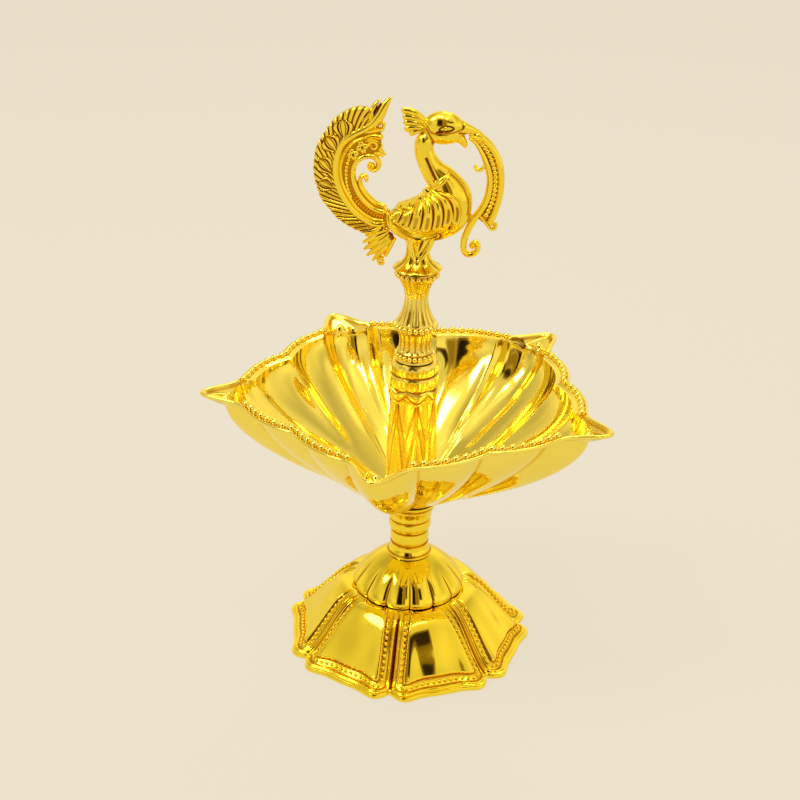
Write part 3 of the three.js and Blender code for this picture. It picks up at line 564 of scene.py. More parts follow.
def foot_dome():
    """Cap: fourteen convex lobes, their creases 1 - sqrt(1 - 0.98t²) deep, faded towards the top."""
    shape = smooth_line([
        (20.45, 0), (20.7, 0.8), (20.55, 2.0), (19.25, 4.1), (16.35, 7.55), (12.4, 10.8), (8.4, 13),
    ], 64)
    columns = DOME_LOBES * 44
    angle = (np.arange(columns) * 360 / columns)[None]
    t = within(angle, DOME_TURN, DOME_LOBES)
    radius, height = shape[:, :1], shape[:, 1:]
    fade = rise(-height, -11.6, -5.5)
    crease = (1 - np.sqrt(1 - 0.98 * t * t)) * fade
    outside = around(angle, radius - 1.15 * crease, DOME_BASE + height)
    # Painted shade in the creases between the lobes, fading towards the top.
    groove = np.clip(bump(np.abs(t), 1, 0.07) * fade, 0, 1)
    inner = shape[:-6]
    hollow_radius = np.maximum(inner[:, :1] - 2, 6.3)
    hollow = around(angle, hollow_radius, DOME_BASE + np.minimum(inner[:, 1:], 11.0))
    bore = np.stack([around(angle[0], 4.3, DOME_TOP), around(angle[0], 4.3, DOME_TOP - 2)])
    grid = np.concatenate([outside, bore, hollow[::-1]])
    depth = np.zeros(grid.shape[:2])
    depth[: len(groove)] = groove
    # Painted shade on the bore and the hollow inside.
    depth[len(groove) :] = 0.4
    return sheet(grid, depth, loop=True)


def lower_stem():
    """Turned stem: flange, plain drum, two grooves, a flare under the bowl, and its two threads."""
    b = STEM_BASE
    parts = (
        [(0, TAIL_END), (3.4, TAIL_END)],
        [(3.4, TAIL_END), (4.0, TAIL_END + 0.6)],
        [(4.0, TAIL_END + 0.6), (4.0, b)],
        [(4.0, b), (8.1, b)],
        [(8.1, b), (8.3, b + 0.5), (8.1, b + 1.0)],
        [(7.75, b + 1.3), (7.0, b + 2.6), (6.85, b + 3.8), (7.1, b + 4.7)],
        [(6.75, b + 5.0), (7.05, b + 6.2), (7.1, b + 8.0), (6.95, b + 9.6)],
        [(6.5, b + 9.9), (7.2, b + 10.4), (7.75, b + 12.0), (7.7, b + 13.6), (7.45, b + 14.3)],
        [(7.0, b + 14.6), (7.8, b + 15.2), (8.1, b + 17.0), (8.8, b + 19.3), (8.9, b + 19.9)],
        [(8.5, b + 20.2), (9.4, b + 20.7), (10.1, b + 21.5), (10.2, STEM_TOP - 0.2)],
        [(10.0, STEM_TOP), (4.6, STEM_TOP)],
        [(4.6, STEM_TOP), (4.6, SLEEVE_BASE + 9.4)],
        [(4.6, SLEEVE_BASE + 9.4), (4.0, SLEEVE_BASE + 10)],
        [(4.0, SLEEVE_BASE + 10), (0, SLEEVE_BASE + 10)],
    )
    points, quads, groove = turned(profile(*parts, step=0.3), thread=((TAIL_END, 19), (62, 71)))
    height, radius = points[:, 2], np.hypot(points[:, 0], points[:, 1])
    # Painted shade in the five nicks between the stem's mouldings, added to the threads' shade.
    nicks = sum(bump(height, b + h, 0.22) for h in (1.15, 4.85, 9.8, 14.5, 20.1)) * (radius > 5.5)
    return points, quads, np.clip(groove + 0.95 * nicks, 0, 1)


# Bowl


def from_spout(angle):
    """Degrees from the nearest spout, 0 to 36."""
    return 180 / SPOUTS - np.abs(within(angle, SPOUT_TURN, SPOUTS)) * 180 / SPOUTS


def bowl_side(offset):
    """Rim without its lips: in by SIDE_WAIST from 9° to the cusp, bowed out 1.15 mm on the way."""
    t = np.clip((offset - 9) / 27, 0, 1)
    return TIP_RADIUS - LIP_LENGTH - SIDE_WAIST * t + 4.6 * t * (1 - t)


def lip_share(offset):
    """How much of a lip stands at an offset from its middle: the exponential of -(offset / 6)^2.1."""
    return np.exp(-((np.abs(offset) / 6) ** 2.1))


def bowl_rim(offset):
    """Rim in plan: the side with a blunt lip on each spout."""
    return bowl_side(offset) + LIP_LENGTH * lip_share(offset)


def bowl_wall(offset):
    """Wall under the rim: the side less its flange, and a keel's nose of 1 - s² under a spout."""
    return bowl_side(offset) - FLANGE + KEEL_NOSE * (1 - np.clip(offset / LOBE_HALF, 0, 1) ** 2)


def across_lobe(offset):
    """Place across the spout's lobe or the petal's, from -1 to 1."""
    petal = 2 * (offset - LOBE_HALF) / (180 / SPOUTS - LOBE_HALF) - 1
    return np.where(offset < LOBE_HALF, offset / LOBE_HALF, petal)


def belly(x, offset):
    """Height share of the wall: 1 - (1 - x^1.05)^k, k a little less under a spout than under a petal."""
    fullness = 0.6 + 0.07 * np.clip(offset / LOBE_HALF, 0, 1) ** 1.5
    return 1 - (1 - np.clip(x, 0, 1) ** 1.05) ** fullness


def lip_channel(offset, radius):
    """Depth of the trough in a lip, none on its border, most at its root, by the way in from its edge."""
    lean = (bowl_rim(offset + 0.05) - bowl_rim(offset - 0.05)) / (0.1 * np.radians(1) * radius)
    from_edge = (bowl_rim(offset) - radius) / np.hypot(1, lean)
    reach = np.clip((TIP_RADIUS - radius) / LIP_LENGTH, 0, 1)
    return (0.7 + 2.7 * reach) * rise(from_edge, 0.9, 3.4) * (1 - rise(offset, 7.5, 10.5))


def inner_rib(offset, radius, x):
    """Rounded bars exp(-(d / 3.4 mm)²) across, leaning to their spout's middle on the way down."""
    nearest = np.minimum(np.abs(offset - LOBE_HALF * (0.45 + 0.55 * x)), 180 / SPOUTS - offset)
    length = rise(x, 0.3, 0.58) * (1 - rise(x, 0.86, 0.99))
    return 1.1 * np.exp(-((np.radians(nearest) * radius / 3.4) ** 2)) * length


def bowl_angles():
    """Azimuths round the bowl, closer together on the lips and on the ribs."""
    half = np.concatenate([
        np.linspace(0, 10, 23, endpoint=False), np.linspace(10, 15, 13, endpoint=False),
        np.linspace(15, 33, 16, endpoint=False), np.linspace(33, 36, 7),
    ])
    sector = np.concatenate([-half[1:-1][::-1], half])
    return np.sort((SPOUT_TURN + SPOUT_PITCH * np.arange(SPOUTS)[:, None] + sector[None]).ravel())


def bowl():
    """Cast bowl: lobed wall, beaded flange, five troughed lips, ribs inside and a bored seat."""
    angle = bowl_angles()[None]
    offset = from_spout(angle)
    lobe = across_lobe(offset)
    lip = lip_share(offset)
    rim = bowl_rim(offset)
    wall = bowl_wall(offset)
    under = BOWL_RIM - 1.7 - 3.0 * lip

    x = (1 - (1 - np.linspace(0, 1, 48)) ** 1.5)[:, None]
    fade = np.sin(np.pi * np.minimum(x / 1.15, 1)) ** 0.7
    crease = 2.0 * (1 - np.sqrt(1 - 0.97 * lobe**2)) * fade
    outer_radius = SEAT_RADIUS + (wall - SEAT_RADIUS) * x - crease
    outside = around(angle, outer_radius, BOWL_BASE + (under - BOWL_BASE) * belly(x, offset))
    # Painted shade along the outside creases between the lobes.
    outer_groove = 0.35 * bump(np.abs(lobe), 1, 0.03) * fade

    turn = np.radians(np.linspace(-80, 90, 11))[:, None]
    edge_radius = rim - EDGE_RADIUS + EDGE_RADIUS * np.cos(turn)
    edge = around(angle, edge_radius, BOWL_RIM - EDGE_RADIUS + EDGE_RADIUS * np.sin(turn) + 0.6 * lip)

    s = (np.linspace(0, 1, 31)[1:, None]) ** 0.9
    top_radius = rim - EDGE_RADIUS + (wall - BOWL_WALL - rim + EDGE_RADIUS) * s
    inward = rim - top_radius
    beaded = rise(offset, 8.8, 9.8)
    sunk = 0.32 * rise(inward, 0.95, 1.25) * beaded
    channel = lip_channel(offset, top_radius)
    across = np.radians(offset) * 65
    ledge = 0.5 * bump(top_radius, 63.6, 0.55) * (1 - rise(across, 3.6, 5.4))
    knob = 1.35 * np.sqrt(np.clip(1 - ((top_radius - 65.9) / 1.7) ** 2 - (across / 1.6) ** 2, 0, 1))
    aside = rise(offset, 8, 10)
    rounding = 0.7 * rise(inward, 3.0, 5.2) * aside + 0.7 * (1 - aside) * rise(s, 0.85, 1)
    top_height = BOWL_RIM + 0.6 * lip * (1 - s) - channel - sunk - ledge + knob - rounding
    top = around(angle, top_radius, top_height)
    # Painted shade along the bead line inside the edge, over the sunk flange, on the ledge and in the lips'
    # troughs.
    top_groove = np.clip(
        0.7 * bump(inward, 1.15, 0.2) * beaded
        + 0.28 * (sunk > 0.2) * (inward < 3.6)
        + 1.5 * ledge
        + 0.5 * bump(channel, 1.0, 0.4) * (1 - beaded) * rise(inward, 0.9, 1.4),
        0,
        1,
    )

    base = BOWL_BASE + BOWL_WALL
    start = BOWL_RIM - 0.7 - lip_channel(offset, wall - BOWL_WALL)
    down = (1 - np.linspace(0, 1, 64)[1:] ** 1.4)[:, None]
    lobed = rise(down, 0.3, 0.9)
    narrowest = bowl_wall(180 / SPOUTS)
    plain = SEAT_RADIUS + (narrowest + (wall - narrowest) * lobed - BOWL_WALL - SEAT_RADIUS) * down
    rib = inner_rib(offset, plain, down)
    rounded = np.maximum(offset, LOBE_HALF * (1 - lobed))
    inside = around(angle, plain - rib, base + (start - base) * belly(down, rounded))

    bore = np.stack([around(angle[0], 4.9, base), around(angle[0], 4.9, BOWL_BASE)])
    grid = np.concatenate([outside, edge, top, inside, bore])
    depth = np.zeros(grid.shape[:2])
    first = len(outside) + len(edge)
    depth[: len(outside)] = outer_groove
    depth[first : first + len(top)] = top_groove
    return sheet(grid, depth, loop=True)


def rim_beads():
    """Drawn-out beads 3.5 mm apart between the lips, 2.4 mm inside the edge, and two in each throat."""
    beads = []
    for spout in range(SPOUTS):
        angle = SPOUT_TURN + SPOUT_PITCH * spout + np.linspace(10.2, 61.8, 121)
        path = around(angle, bowl_rim(from_spout(angle)) - 2.4, BOWL_RIM + 0.15)
        centres, along = evenly(path, 3.5)
        beads.append(studs(centres, 1.22, 1.22, along, sides=12, rings=8))
        small = around(SPOUT_TURN + SPOUT_PITCH * spout + np.array([-2.7, 2.7]), 65.0, BOWL_RIM - 2.4)
        beads.append(studs(small, 0.85, sides=10, rings=7))
    return beads


# Pillar and vase


def column_sleeve():
    """Pillar: seven pointed leaves with darts between them, a waved roll, two bands and a bead ring."""
    columns = LEAVES * 52
    angle = (np.arange(columns) * 360 / columns)[None]
    leaf = np.abs(within(angle, LEAF_TURN, LEAVES))
    b = SLEEVE_BASE
    stations = profile(
        [(4.9, b), (9.2, b)],
        [(9.2, b), (9.35, b + 0.6), (9.15, b + 1.2)],
        [(8.95, b + 1.4), (8.95, b + 5), (8.75, b + 14), (8.5, b + 24), (8.3, b + 34), (8.15, b + 37.4)],
        [(8.15, b + 37.4), (8.75, b + 38.2), (8.95, b + 39.4), (8.7, b + 40.8), (8.05, b + 41.5)],
        [(8.05, b + 41.8), (8.3, b + 42.4), (8.4, b + 44.2), (8.3, b + 46.1), (8.0, b + 46.8)],
        [(7.8, b + 47.0), (8.05, b + 47.5), (8.15, b + 49.2), (7.95, b + 50.9), (7.6, b + 51.6)],
        [(7.6, b + 51.6), (4.9, b + 51.6)],
        step=0.3,
    )
    radius, height = stations[:, :1], stations[:, 1:]
    up = height - b
    body = rise(up, 1.4, 2.2) * rise(-up, -37.2, -36.4) * (radius > 6)
    reach = np.clip(1 - (up - 2) / 26, 0, 1) ** 0.75
    boundary = leaf - reach
    leaf_face = rise(-boundary, -0.12, 0.2) * (0.3 + 0.3 * (1 - leaf))
    relief = leaf_face + 0.25 * rise(boundary, 0.2, 1.0)
    point = (1 - leaf) - np.clip((up - 22) / 14, 0, 1) * 0.9
    dart = rise(up, 22, 27)
    relief = relief - 0.3 * rise(-point, -0.05, 0.25) * dart
    wave = 1.7 * (leaf**1.4) * rise(up, 36.6, 38.2) * rise(-up, -42.4, -40.6)
    waist = bump(up, 38.0 + 1.3 * leaf**1.6, 0.35) + bump(up, 41.3 + 1.1 * leaf**1.6, 0.35)
    ribbed = np.abs(np.cos(np.radians(LEAVES * (angle - PANEL_TURN)))) ** 0.8
    panels = 0.22 * ribbed * rise(up, 42.0, 43.0) * rise(-up, -51.2, -50.2)
    relief = body * relief + panels * (radius > 6) * (1 - bump(up, 46.9, 0.6))
    grid = around(angle, radius + relief, height + wave)
    # Painted shade along the leaves' edges and the darts' points, and in the waist and band grooves.
    groove = np.clip(
        body * (0.4 * bump(boundary, 0.12, 0.1) + 0.4 * bump(point, 0, 0.12) * dart)
        + (radius > 6) * (waist * 0.8 + 0.95 * bump(up, 46.9, 0.25) + 0.8 * bump(up, 1.3, 0.25)),
        0,
        1,
    )
    return sheet(grid, groove, loop=True)


def column_vase():
    """Vase: sixteen flutes, cos² deep, between collars that carry beads, and a threaded spigot."""
    columns = FLUTES * 18
    angle = (np.arange(columns) * 360 / columns)[None]
    flute = np.cos(np.radians(FLUTES / 2 * angle)) ** 2
    b = VASE_BASE
    stations = profile(
        [(0, b - 10), (4.0, b - 10)],
        [(4.0, b - 10), (4.6, b - 9.4)],
        [(4.6, b - 9.4), (4.6, b)],
        [(4.6, b), (6.7, b)],
        [(6.7, b), (6.5, b + 0.9), (6.0, b + 1.9), (6.2, b + 2.9), (6.5, b + 3.4)],
        [(6.5, b + 3.4), (5.95, b + 4.3), (5.7, b + 6.2), (5.75, b + 8.4), (6.3, b + 10.6), (6.9, b + 11.3)],
        [(6.9, b + 11.3), (6.4, b + 12.4), (6.9, b + 13.6)],
        [
            (6.9, b + 13.6), (6.7, b + 14.6), (5.65, b + 16.5), (4.75, b + 18.9), (4.25, b + 21.3),
            (4.15, b + 23.2), (4.65, b + 26.3), (5.6, b + 28.5), (6.45, b + 30.2), (6.9, b + 30.9),
        ],
        [(6.9, b + 30.9), (6.6, b + 31.6), (6.4, b + 32.3)],
        [(6.4, b + 32.3), (0, b + 32.3)],
        step=0.3,
    )
    radius, height = stations[:, :1], stations[:, 1:]
    up = height - b
    low_part = rise(up, 3.4, 4.4) * rise(-up, -11.3, -10.6)
    fluted = (low_part + rise(up, 13.8, 15) * rise(-up, -30.6, -29.6)) * (radius > 3)
    spigot = rise(up, -9.6, -8.6) * rise(-up, 0.4, 1.4) * (radius > 3)
    deep = 0.4 * fluted * flute * (radius / 6) * (1 - 0.5 * rise(up, 16, 24))
    thread = THREAD_DEPTH * spigot * helix(angle, height)
    # Painted shade in the flutes' bottoms and in the grooves where the three bead rings sit.
    groove = np.clip(
        fluted * flute**4 * (0.5 - 0.3 * rise(up, 16, 24))
        + 0.8 * bump(up, 1.9, 0.8) * (radius > 5.5) * (up > 0.2)
        + 0.8 * bump(up, 12.4, 0.8)
        + 0.7 * bump(up, 31.4, 0.6) * (radius > 6),
        0,
        1,
    )
    return [
        sheet(around(angle, radius - deep + thread, height), groove),
        ring_studs(22, 6.5, b + 1.9, 0.96),
        ring_studs(22, 6.95, b + 12.6, 1.06),
        ring_studs(22, 7.0, b + 31.35, 0.86, 4.0),
    ]


# Bird

TRUNK = np.array([
    [-11.2, 18.4, 2.9, 2.4], [-7.2, 17.4, 4.3, 3.6], [-2, 16.8, 5.8, 5.0], [3.4, 17.9, 7.6, 6.3],
    [8, 21.3, 8.9, 7.0], [9.6, 26, 8.0, 6.4], [7.8, 31, 5.7, 5.0], [4.3, 35, 4.1, 3.8],
    [1.7, 39.4, 3.4, 3.2], [1.0, 43.6, 3.2, 3.0], [2.4, 47.2, 3.2, 3.0],
])


def side_of(x, height):
    """How far the bird's side stands out at x and height: depth times sqrt(1 - (offset / width)²).

    The offset is from the nearest point of the trunk's middle line; the head is an ellipsoid.
    """
    middle = smooth_line(TRUNK, 240)
    gap = np.hypot(np.subtract.outer(x, middle[:, 0]), np.subtract.outer(height, middle[:, 1]))
    share = gap / middle[:, 2]
    trunk = np.max(middle[:, 3] * np.sqrt(np.clip(1 - share**2, 0, 1)), axis=-1)
    for x0, height0, long, tall, wide in (CAP, JAW):
        inside = np.clip(1 - ((x - x0) / long) ** 2 - ((height - height0) / tall) ** 2, 0, 1)
        trunk = np.maximum(trunk, wide * np.sqrt(inside))
    return trunk


def laid(controls, side, lift=0.1, steps=30, sides=10, groove=0.0):
    """Strip laid on one side of the bird along [x, height, half width, half depth]."""
    c = smooth_line(controls, steps)
    y = side * (side_of(c[:, 0], c[:, 1]) + lift)
    line = on_bird(c[:, 0], c[:, 1], y)
    out = np.stack([0 * y, np.full_like(y, side), 0 * y], -1)
    lean = (side_of(c[:, 0] + 0.4, c[:, 1]) - side_of(c[:, 0] - 0.4, c[:, 1])) / 0.8
    fall = (side_of(c[:, 0], c[:, 1] + 0.4) - side_of(c[:, 0], c[:, 1] - 0.4)) / 0.8
    out = out - np.stack([np.clip(lean, -1.5, 1.5), 0 * y, np.clip(fall, -1.5, 1.5)], -1)
    out /= np.linalg.norm(out, axis=1, keepdims=True)
    return sweep(line, c[:, 2], c[:, 3], out, sides, groove)


def ball(centre, radii, columns=40, rings=24):
    """Ellipsoid at a point of the bird, with its poles across the bird."""
    polar = np.linspace(0, np.pi, rings)[:, None]
    turn = np.arange(columns) * 2 * np.pi / columns
    grid = np.stack([
        centre[0] + radii[0] * np.sin(polar) * np.cos(turn),
        centre[1] + radii[1] * np.cos(polar) + 0 * turn,
        BIRD_BASE + centre[2] + radii[2] * np.sin(polar) * np.sin(turn),
    ], -1)
    return sheet(grid)


def merged(shapes, voxel):
    """One skin out of overlapping shapes: rebuilt on cubes of voxel millimetres, then smoothed."""
    thing = placed("merging", mesh_of("merging", joined(shapes)))
    remesh = thing.modifiers.new("skin", "REMESH")
    remesh.mode = "VOXEL"
    remesh.voxel_size = voxel / 1000
    soften = thing.modifiers.new("soften", "SMOOTH")
    soften.factor = 0.5
    soften.iterations = 6
    shaped = thing.evaluated_get(bpy.context.evaluated_depsgraph_get())
    mesh = shaped.to_mesh()
    points = np.zeros(len(mesh.vertices) * 3, np.float32)
    mesh.vertices.foreach_get("co", points)
    quads = np.zeros(len(mesh.loops), np.int32)
    mesh.loops.foreach_get("vertex_index", quads)
    shaped.to_mesh_clear()
    bpy.data.objects.remove(thing)
    points = (points.reshape(-1, 3).astype(float) - STEM_AXIS) * 1000
    return points, quads.reshape(-1, 4), np.zeros(len(points))


def carved(shape, lines):
    """Cuts grooves into the sides: each line is (points, width, depth), its cut a bell of that width, with painted
    shade down the cut's middle, darker the deeper the cut.
    """
    points, quads, groove = shape
    normal = normals_of(points, quads)
    facing = np.clip(np.abs(normal[:, 1]) * 1.6, 0, 1)
    flat = points[:, [0, 2]] - (0, BIRD_BASE)
    cut = np.zeros(len(points))
    shade = np.zeros(len(points))
    for line, width, depth in lines:
        path = smooth_line(line, 60)
        near = np.abs(flat - path.mean(0)).max(1) < np.abs(path - path.mean(0)).max() + 3 * width
        gap = np.min(np.hypot(*(flat[near, None] - path[None]).transpose(2, 0, 1)), axis=1)
        here = bump(gap, 0, width) * facing[near]
        cut[near] = np.maximum(cut[near], depth * here)
        tone = np.clip(depth / 0.5, 0, 1) * bump(gap, 0, width * 0.8) * facing[near]
        shade[near] = np.maximum(shade[near], tone)
    return points - normal * cut[:, None], quads, np.maximum(groove, shade)


def pedestal():
    """Flared foot of the bird: eight shallow lotus folds, cos² deep, on a concave cone."""
    angle = (np.arange(160) * 360 / 160)[None]
    stations = profile(
        [(0, -5.5), (1.9, -5.5), (2.2, -5.1), (2.2, 0)],
        [(2.2, 0), (6.6, 0)],
        [(6.6, 0), (7.7, 0.6), (8.5, 0.9), (8.35, 1.4)],
        [
            (8.35, 1.4), (6.9, 2.2), (5.3, 3.5), (4.3, 5.4), (3.95, 7.6), (4.2, 9.8), (5.1, 13),
            (4.2, 16.5), (0, 17.5),
        ],
        step=0.4,
    )
    radius, up = stations[:, :1], stations[:, 1:]
    fold = np.cos(np.radians(4 * (angle - 20))) ** 2
    amount = rise(up, 0.9, 1.8) * rise(-up, -11, -7) * (radius > 3)
    grid = around(angle, radius - 0.55 * fold**2 * amount, BIRD_BASE + up)
    # Painted shade in the bottoms of the folds.
    return sheet(grid, 0.6 * fold**8 * amount)


BLADES = np.array([
    [(6.2, 29.4), (10.6, 27.6), (12.6, 23.4), (12.2, 18.0)],
    [(4.6, 29.0), (8.2, 27.0), (9.7, 23.2), (9.3, 17.8)],
    [(3.0, 28.0), (5.6, 25.2), (6.4, 21.2), (5.8, 16.0)],
    [(1.2, 27.0), (2.8, 24.0), (3.0, 20.3), (2.3, 15.5)],
    [(-1.0, 25.8), (-0.4, 22.9), (-0.9, 19.6), (-1.7, 15.9)],
    [(-3.2, 24.8), (-3.4, 22.5), (-4.3, 19.8), (-5.5, 16.9)],
    [(-5.8, 23.9), (-6.5, 22.2), (-7.6, 20.2), (-9.0, 18.2)],
])


def wing(side):
    """Wing laid on the trunk: puffed blades |cos πi|^0.7 high, i counting them, each sunk near its tip."""
    rows, columns = 200, 44
    v = np.linspace(0, 1, columns)[None]
    along = np.stack([smooth_line(blade, columns) for blade in BLADES])
    i = np.linspace(-0.45, len(BLADES) - 0.55, rows)
    first = np.clip(np.floor(i).astype(int), 0, len(BLADES) - 2)
    part = (i - first)[:, None, None]
    place = along[first] * (1 - part) + along[first + 1] * part
    i = i[:, None]
    ridge = np.abs(np.cos(np.pi * i))
    forward = np.gradient(place, axis=1)
    forward = forward / np.linalg.norm(forward, axis=-1, keepdims=True)
    place = place + forward * ((0.9 * ridge - 0.5) * rise(v, 0.75, 1))[..., None]
    middle = np.abs(i - np.round(i))
    hollow = bump(middle, 0.04, 0.17) * rise(v, 0.4, 0.62) * (1 - rise(v, 0.84, 0.95))
    lift = 0.35 + 1.5 * ridge**0.6 * np.sin(np.pi * np.clip(v, 0, 1) ** 0.8) ** 0.5 - 0.7 * hollow
    lift = lift * (1 - rise(np.abs(2 * np.linspace(0, 1, rows)[:, None] - 1), 0.96, 1.0) * 0.8)
    # Painted shade between the blades and in the sunk hollows near their tips.
    between = 0.6 * bump(ridge, 0, 0.3) * rise(v, 0.2, 0.5)
    groove = np.clip(between + (0.6 - 0.06 * i) * rise(hollow, 0.35, 0.9), 0, 1)
    y = side_of(place[..., 0], place[..., 1])
    outer = on_bird(place[..., 0], place[..., 1], side * (y + lift))
    inner = on_bird(place[..., 0], place[..., 1], side * (y - 1.4))
    return slab(outer, inner, groove, np.zeros_like(groove))


def peacock_body():
    """Body: one skin of trunk, head, beak and leg root, with wings, necklace, eyes, crest and pedestal."""
    trunk = smooth_line(TRUNK, 90)
    skin = merged([
        sweep(on_bird(trunk[:, 0], trunk[:, 1]), trunk[:, 2], trunk[:, 3], sides=56),
        *(ball((x, 0, height), (long, wide, tall)) for x, height, long, tall, wide in (CAP, JAW)),
        strip([
            [9.5, 50.0, 3.2, 3.2], [13.0, 49.4, 2.4, 2.3], [16.6, 48.5, 1.4, 1.3], [20.4, 47.2, 0.5, 0.5],
        ], 30, sides=24),
        strip([
            [9.5, 46.8, 2.6, 2.6], [12.9, 45.7, 1.7, 1.7], [14.6, 43.4, 0.9, 0.9], [14.9, 42.6, 0.4, 0.5],
        ], 20, sides=20),
        strip([[0, 17, 6, 4.6], [1.6, 12, 4.6, 4.0], [1.5, 8, 3.4, 3.4]], 20, sides=32),
    ], 0.3)
    lines = [
        ([
            (1.7, 50.2), (2.6, 48.7), (3.9, 47.9), (7.7, 48.0), (11.5, 48.5), (13.2, 49.4), (13.5, 51.0),
        ], 0.34, 0.34),
        ([(1.2, 49.2), (2.6, 47.2), (3.5, 45.4), (4.1, 43.6)], 0.4, 0.35),
        ([(12.4, 48.0), (14.8, 47.3), (18.8, 46.9)], 0.3, 0.4),
        ([(1.9, 39.4), (3.0, 36.9), (4.0, 34.6), (4.9, 32.8)], 0.62, 0.95),
        ([(9.6, 35.2), (12.6, 32.6), (14.9, 29.6), (16.4, 25.6), (16.5, 21.2)], 0.4, 0.3),
        ([(5.8, 27.6), (8.9, 24.8), (10.6, 21.2), (10.4, 16.4)], 0.55, 0.75),
        ([(-9.0, 15.8), (-6.4, 13.4), (-2.6, 11.2)], 0.5, 0.5),
        ([(7.0, 14.6), (7.4, 12.9), (5.2, 11.6)], 0.5, 0.5),
    ]
    parts = [carved(skin, lines), pedestal()]
    almond = [
        [5.4, 49.3], [6.6, 50.4], [8.2, 50.8], [9.8, 50.4], [10.5, 49.8], [9.4, 49.2], [7.6, 48.9],
        [5.4, 49.3],
    ]
    pupil = np.array([7.8]), np.array([49.9])
    for side in (-1, 1):
        parts.append(wing(side))
        parts.append(laid([
            [2.2, 29.2, 0.4, 0.6], [5.2, 28.8, 0.6, 0.7], [8.3, 26.6, 0.7, 0.8], [10.5, 23.2, 0.65, 0.8],
            [11.0, 19.0, 0.4, 0.5],
        ], side, 0.2))
        for shift in (0.0, 1.3, 2.6):
            parts.append(laid([[0.9 - shift, 27.8 - shift, 0.3, 0.5], [2.8 - shift, 27.6 - shift, 0.6, 0.7],
                               [4.6 - shift, 26.0 - shift, 0.3, 0.4]], side, 0.35))
        parts.append(laid([[-8.8, 17.2, 0.3, 0.5], [-4.3, 14.2, 0.55, 0.7], [-0.4, 12.9, 0.55, 0.8],
                           [2.9, 13.2, 0.55, 0.8], [7.2, 14.6, 0.35, 0.5]], side, 0.4))
        parts.append(laid([[-10.4, 20.9, 0.5, 0.7], [-9.7, 17.4, 1.0, 1.0], [-7.4, 14.6, 1.15, 1.1],
                           [-3.6, 12.0, 0.8, 0.8]], side, 0.1))
        for shift in (0.0, 1.4):
            parts.append(laid([
                [3.9 + shift * 0.2, 29.4 + shift, 0.35, 0.4],
                [6.5 + shift * 0.2, 31.4 + shift, 0.8, 0.8],
                [9.6 + shift * 0.1, 34.4 + shift * 0.5, 0.4, 0.4],
            ], side, 0.15))
        # The eye's almond outline is painted in dark shade.
        parts.append(laid([[p[0], p[1], 0.3, 0.35] for p in almond], side, 0.1, groove=0.95))
        eye = on_bird(*pupil, side * (side_of(*pupil) - 0.2))
        parts.append(studs(eye, 0.85, sides=16, rings=10))
        corner = [[4.5, 48.3, 0.15, 0.25], [5.6, 48.7, 0.42, 0.25], [7.0, 48.5, 0.12, 0.2]]
        brow = [[9.0, 51.5, 0.1, 0.2], [9.7, 51.9, 0.35, 0.25], [10.4, 51.6, 0.1, 0.2]]
        # Eye corner and brow: short strips painted in dark shade.
        parts.append(laid(corner, side, 0.05, groove=1.0))
        parts.append(laid(brow, side, 0.05, groove=0.9))
        hind = [(-0.6, 15.4), (-2.2, 11.0), (-1.9, 7.4), (-0.7, 4.2)]
        parts.append(on_leg(hind, (0.5, 0.95, 0.85, 0.3), side))
        parts.append(on_leg([(5.0, 15.4), (4.2, 10.6), (1.9, 6.6), (-0.5, 4.2)], (0.5, 0.95, 0.85, 0.3), side))
        parts.append(on_leg([(2.4, 15.4), (1.3, 11.2), (0.0, 6.6)], (1.5, 1.9, 0.5), side, -0.35))
        # A thin strip painted in dark shade down the leg's leaf.
        parts.append(on_leg([(2.2, 13.6), (1.1, 10.8), (0.2, 8.0)], (0.15, 0.5, 0.15), side, 0.15, 0.85))
    plumes = (
        ([2.8, 50.8], [-1.6, 53.9], [-6.3, 54.7]), ([2.6, 50.2], [-2.0, 52.3], [-5.9, 52.6]),
        ([2.4, 49.6], [-2.2, 50.7], [-5.5, 50.5]), ([2.2, 49.0], [-2.0, 49.1], [-5.2, 48.3]),
        ([2.2, 48.3], [-1.4, 47.8], [-3.6, 46.8]),
    )
    # Sheet behind the crest plumes, painted in dark shade between them.
    behind = [[1.6, 49.6, 1.4, 0.8], [-2.2, 50.6, 2.9, 0.7], [-5.0, 50.8, 3.6, 0.5]]
    parts.append(strip(behind, 24, groove=0.85))
    for start, middle, end in plumes:
        parts.append(strip([
            [start[0] - 0.6, start[1], 0.6, 1.1],
            [middle[0] - 0.6, middle[1], 1.05, 1.2],
            [end[0] - 0.5, end[1], 1.15, 0.8],
        ], 24, sides=12))
    return parts


def on_leg(path, widths, side, lift=0.0, groove=0.0):
    """Strip over the leg and the flare below it: it stands off them by the height it is at."""
    c = smooth_line([[x, height, width] for (x, height), width in zip(path, widths)], 30)
    flare = np.interp(c[:, 1], [3.5, 5, 8, 13, 16], [5.3, 4.5, 3.95, 4.3, 4.9])
    y = side * (flare + lift - 0.05 * c[:, 0] ** 2)
    out = np.broadcast_to((0.0, float(side), 0.0), (len(c), 3))
    return sweep(on_bird(c[:, 0], c[:, 1], y), c[:, 2], 0.8 + 0 * c[:, 2], out, 12, groove)


def both_faces(path, pitch, radius, stand, stretch=1.0):
    """Beads a pitch apart along a path of the bird's plane, standing out on both faces."""
    beads = []
    for side in (-1, 1):
        line = smooth_line(path, 120)
        centres, along = evenly(on_bird(line[:, 0], line[:, 1], side * stand), pitch)
        beads.append(studs(centres, radius, stretch, along, sides=8, rings=6))
    return beads


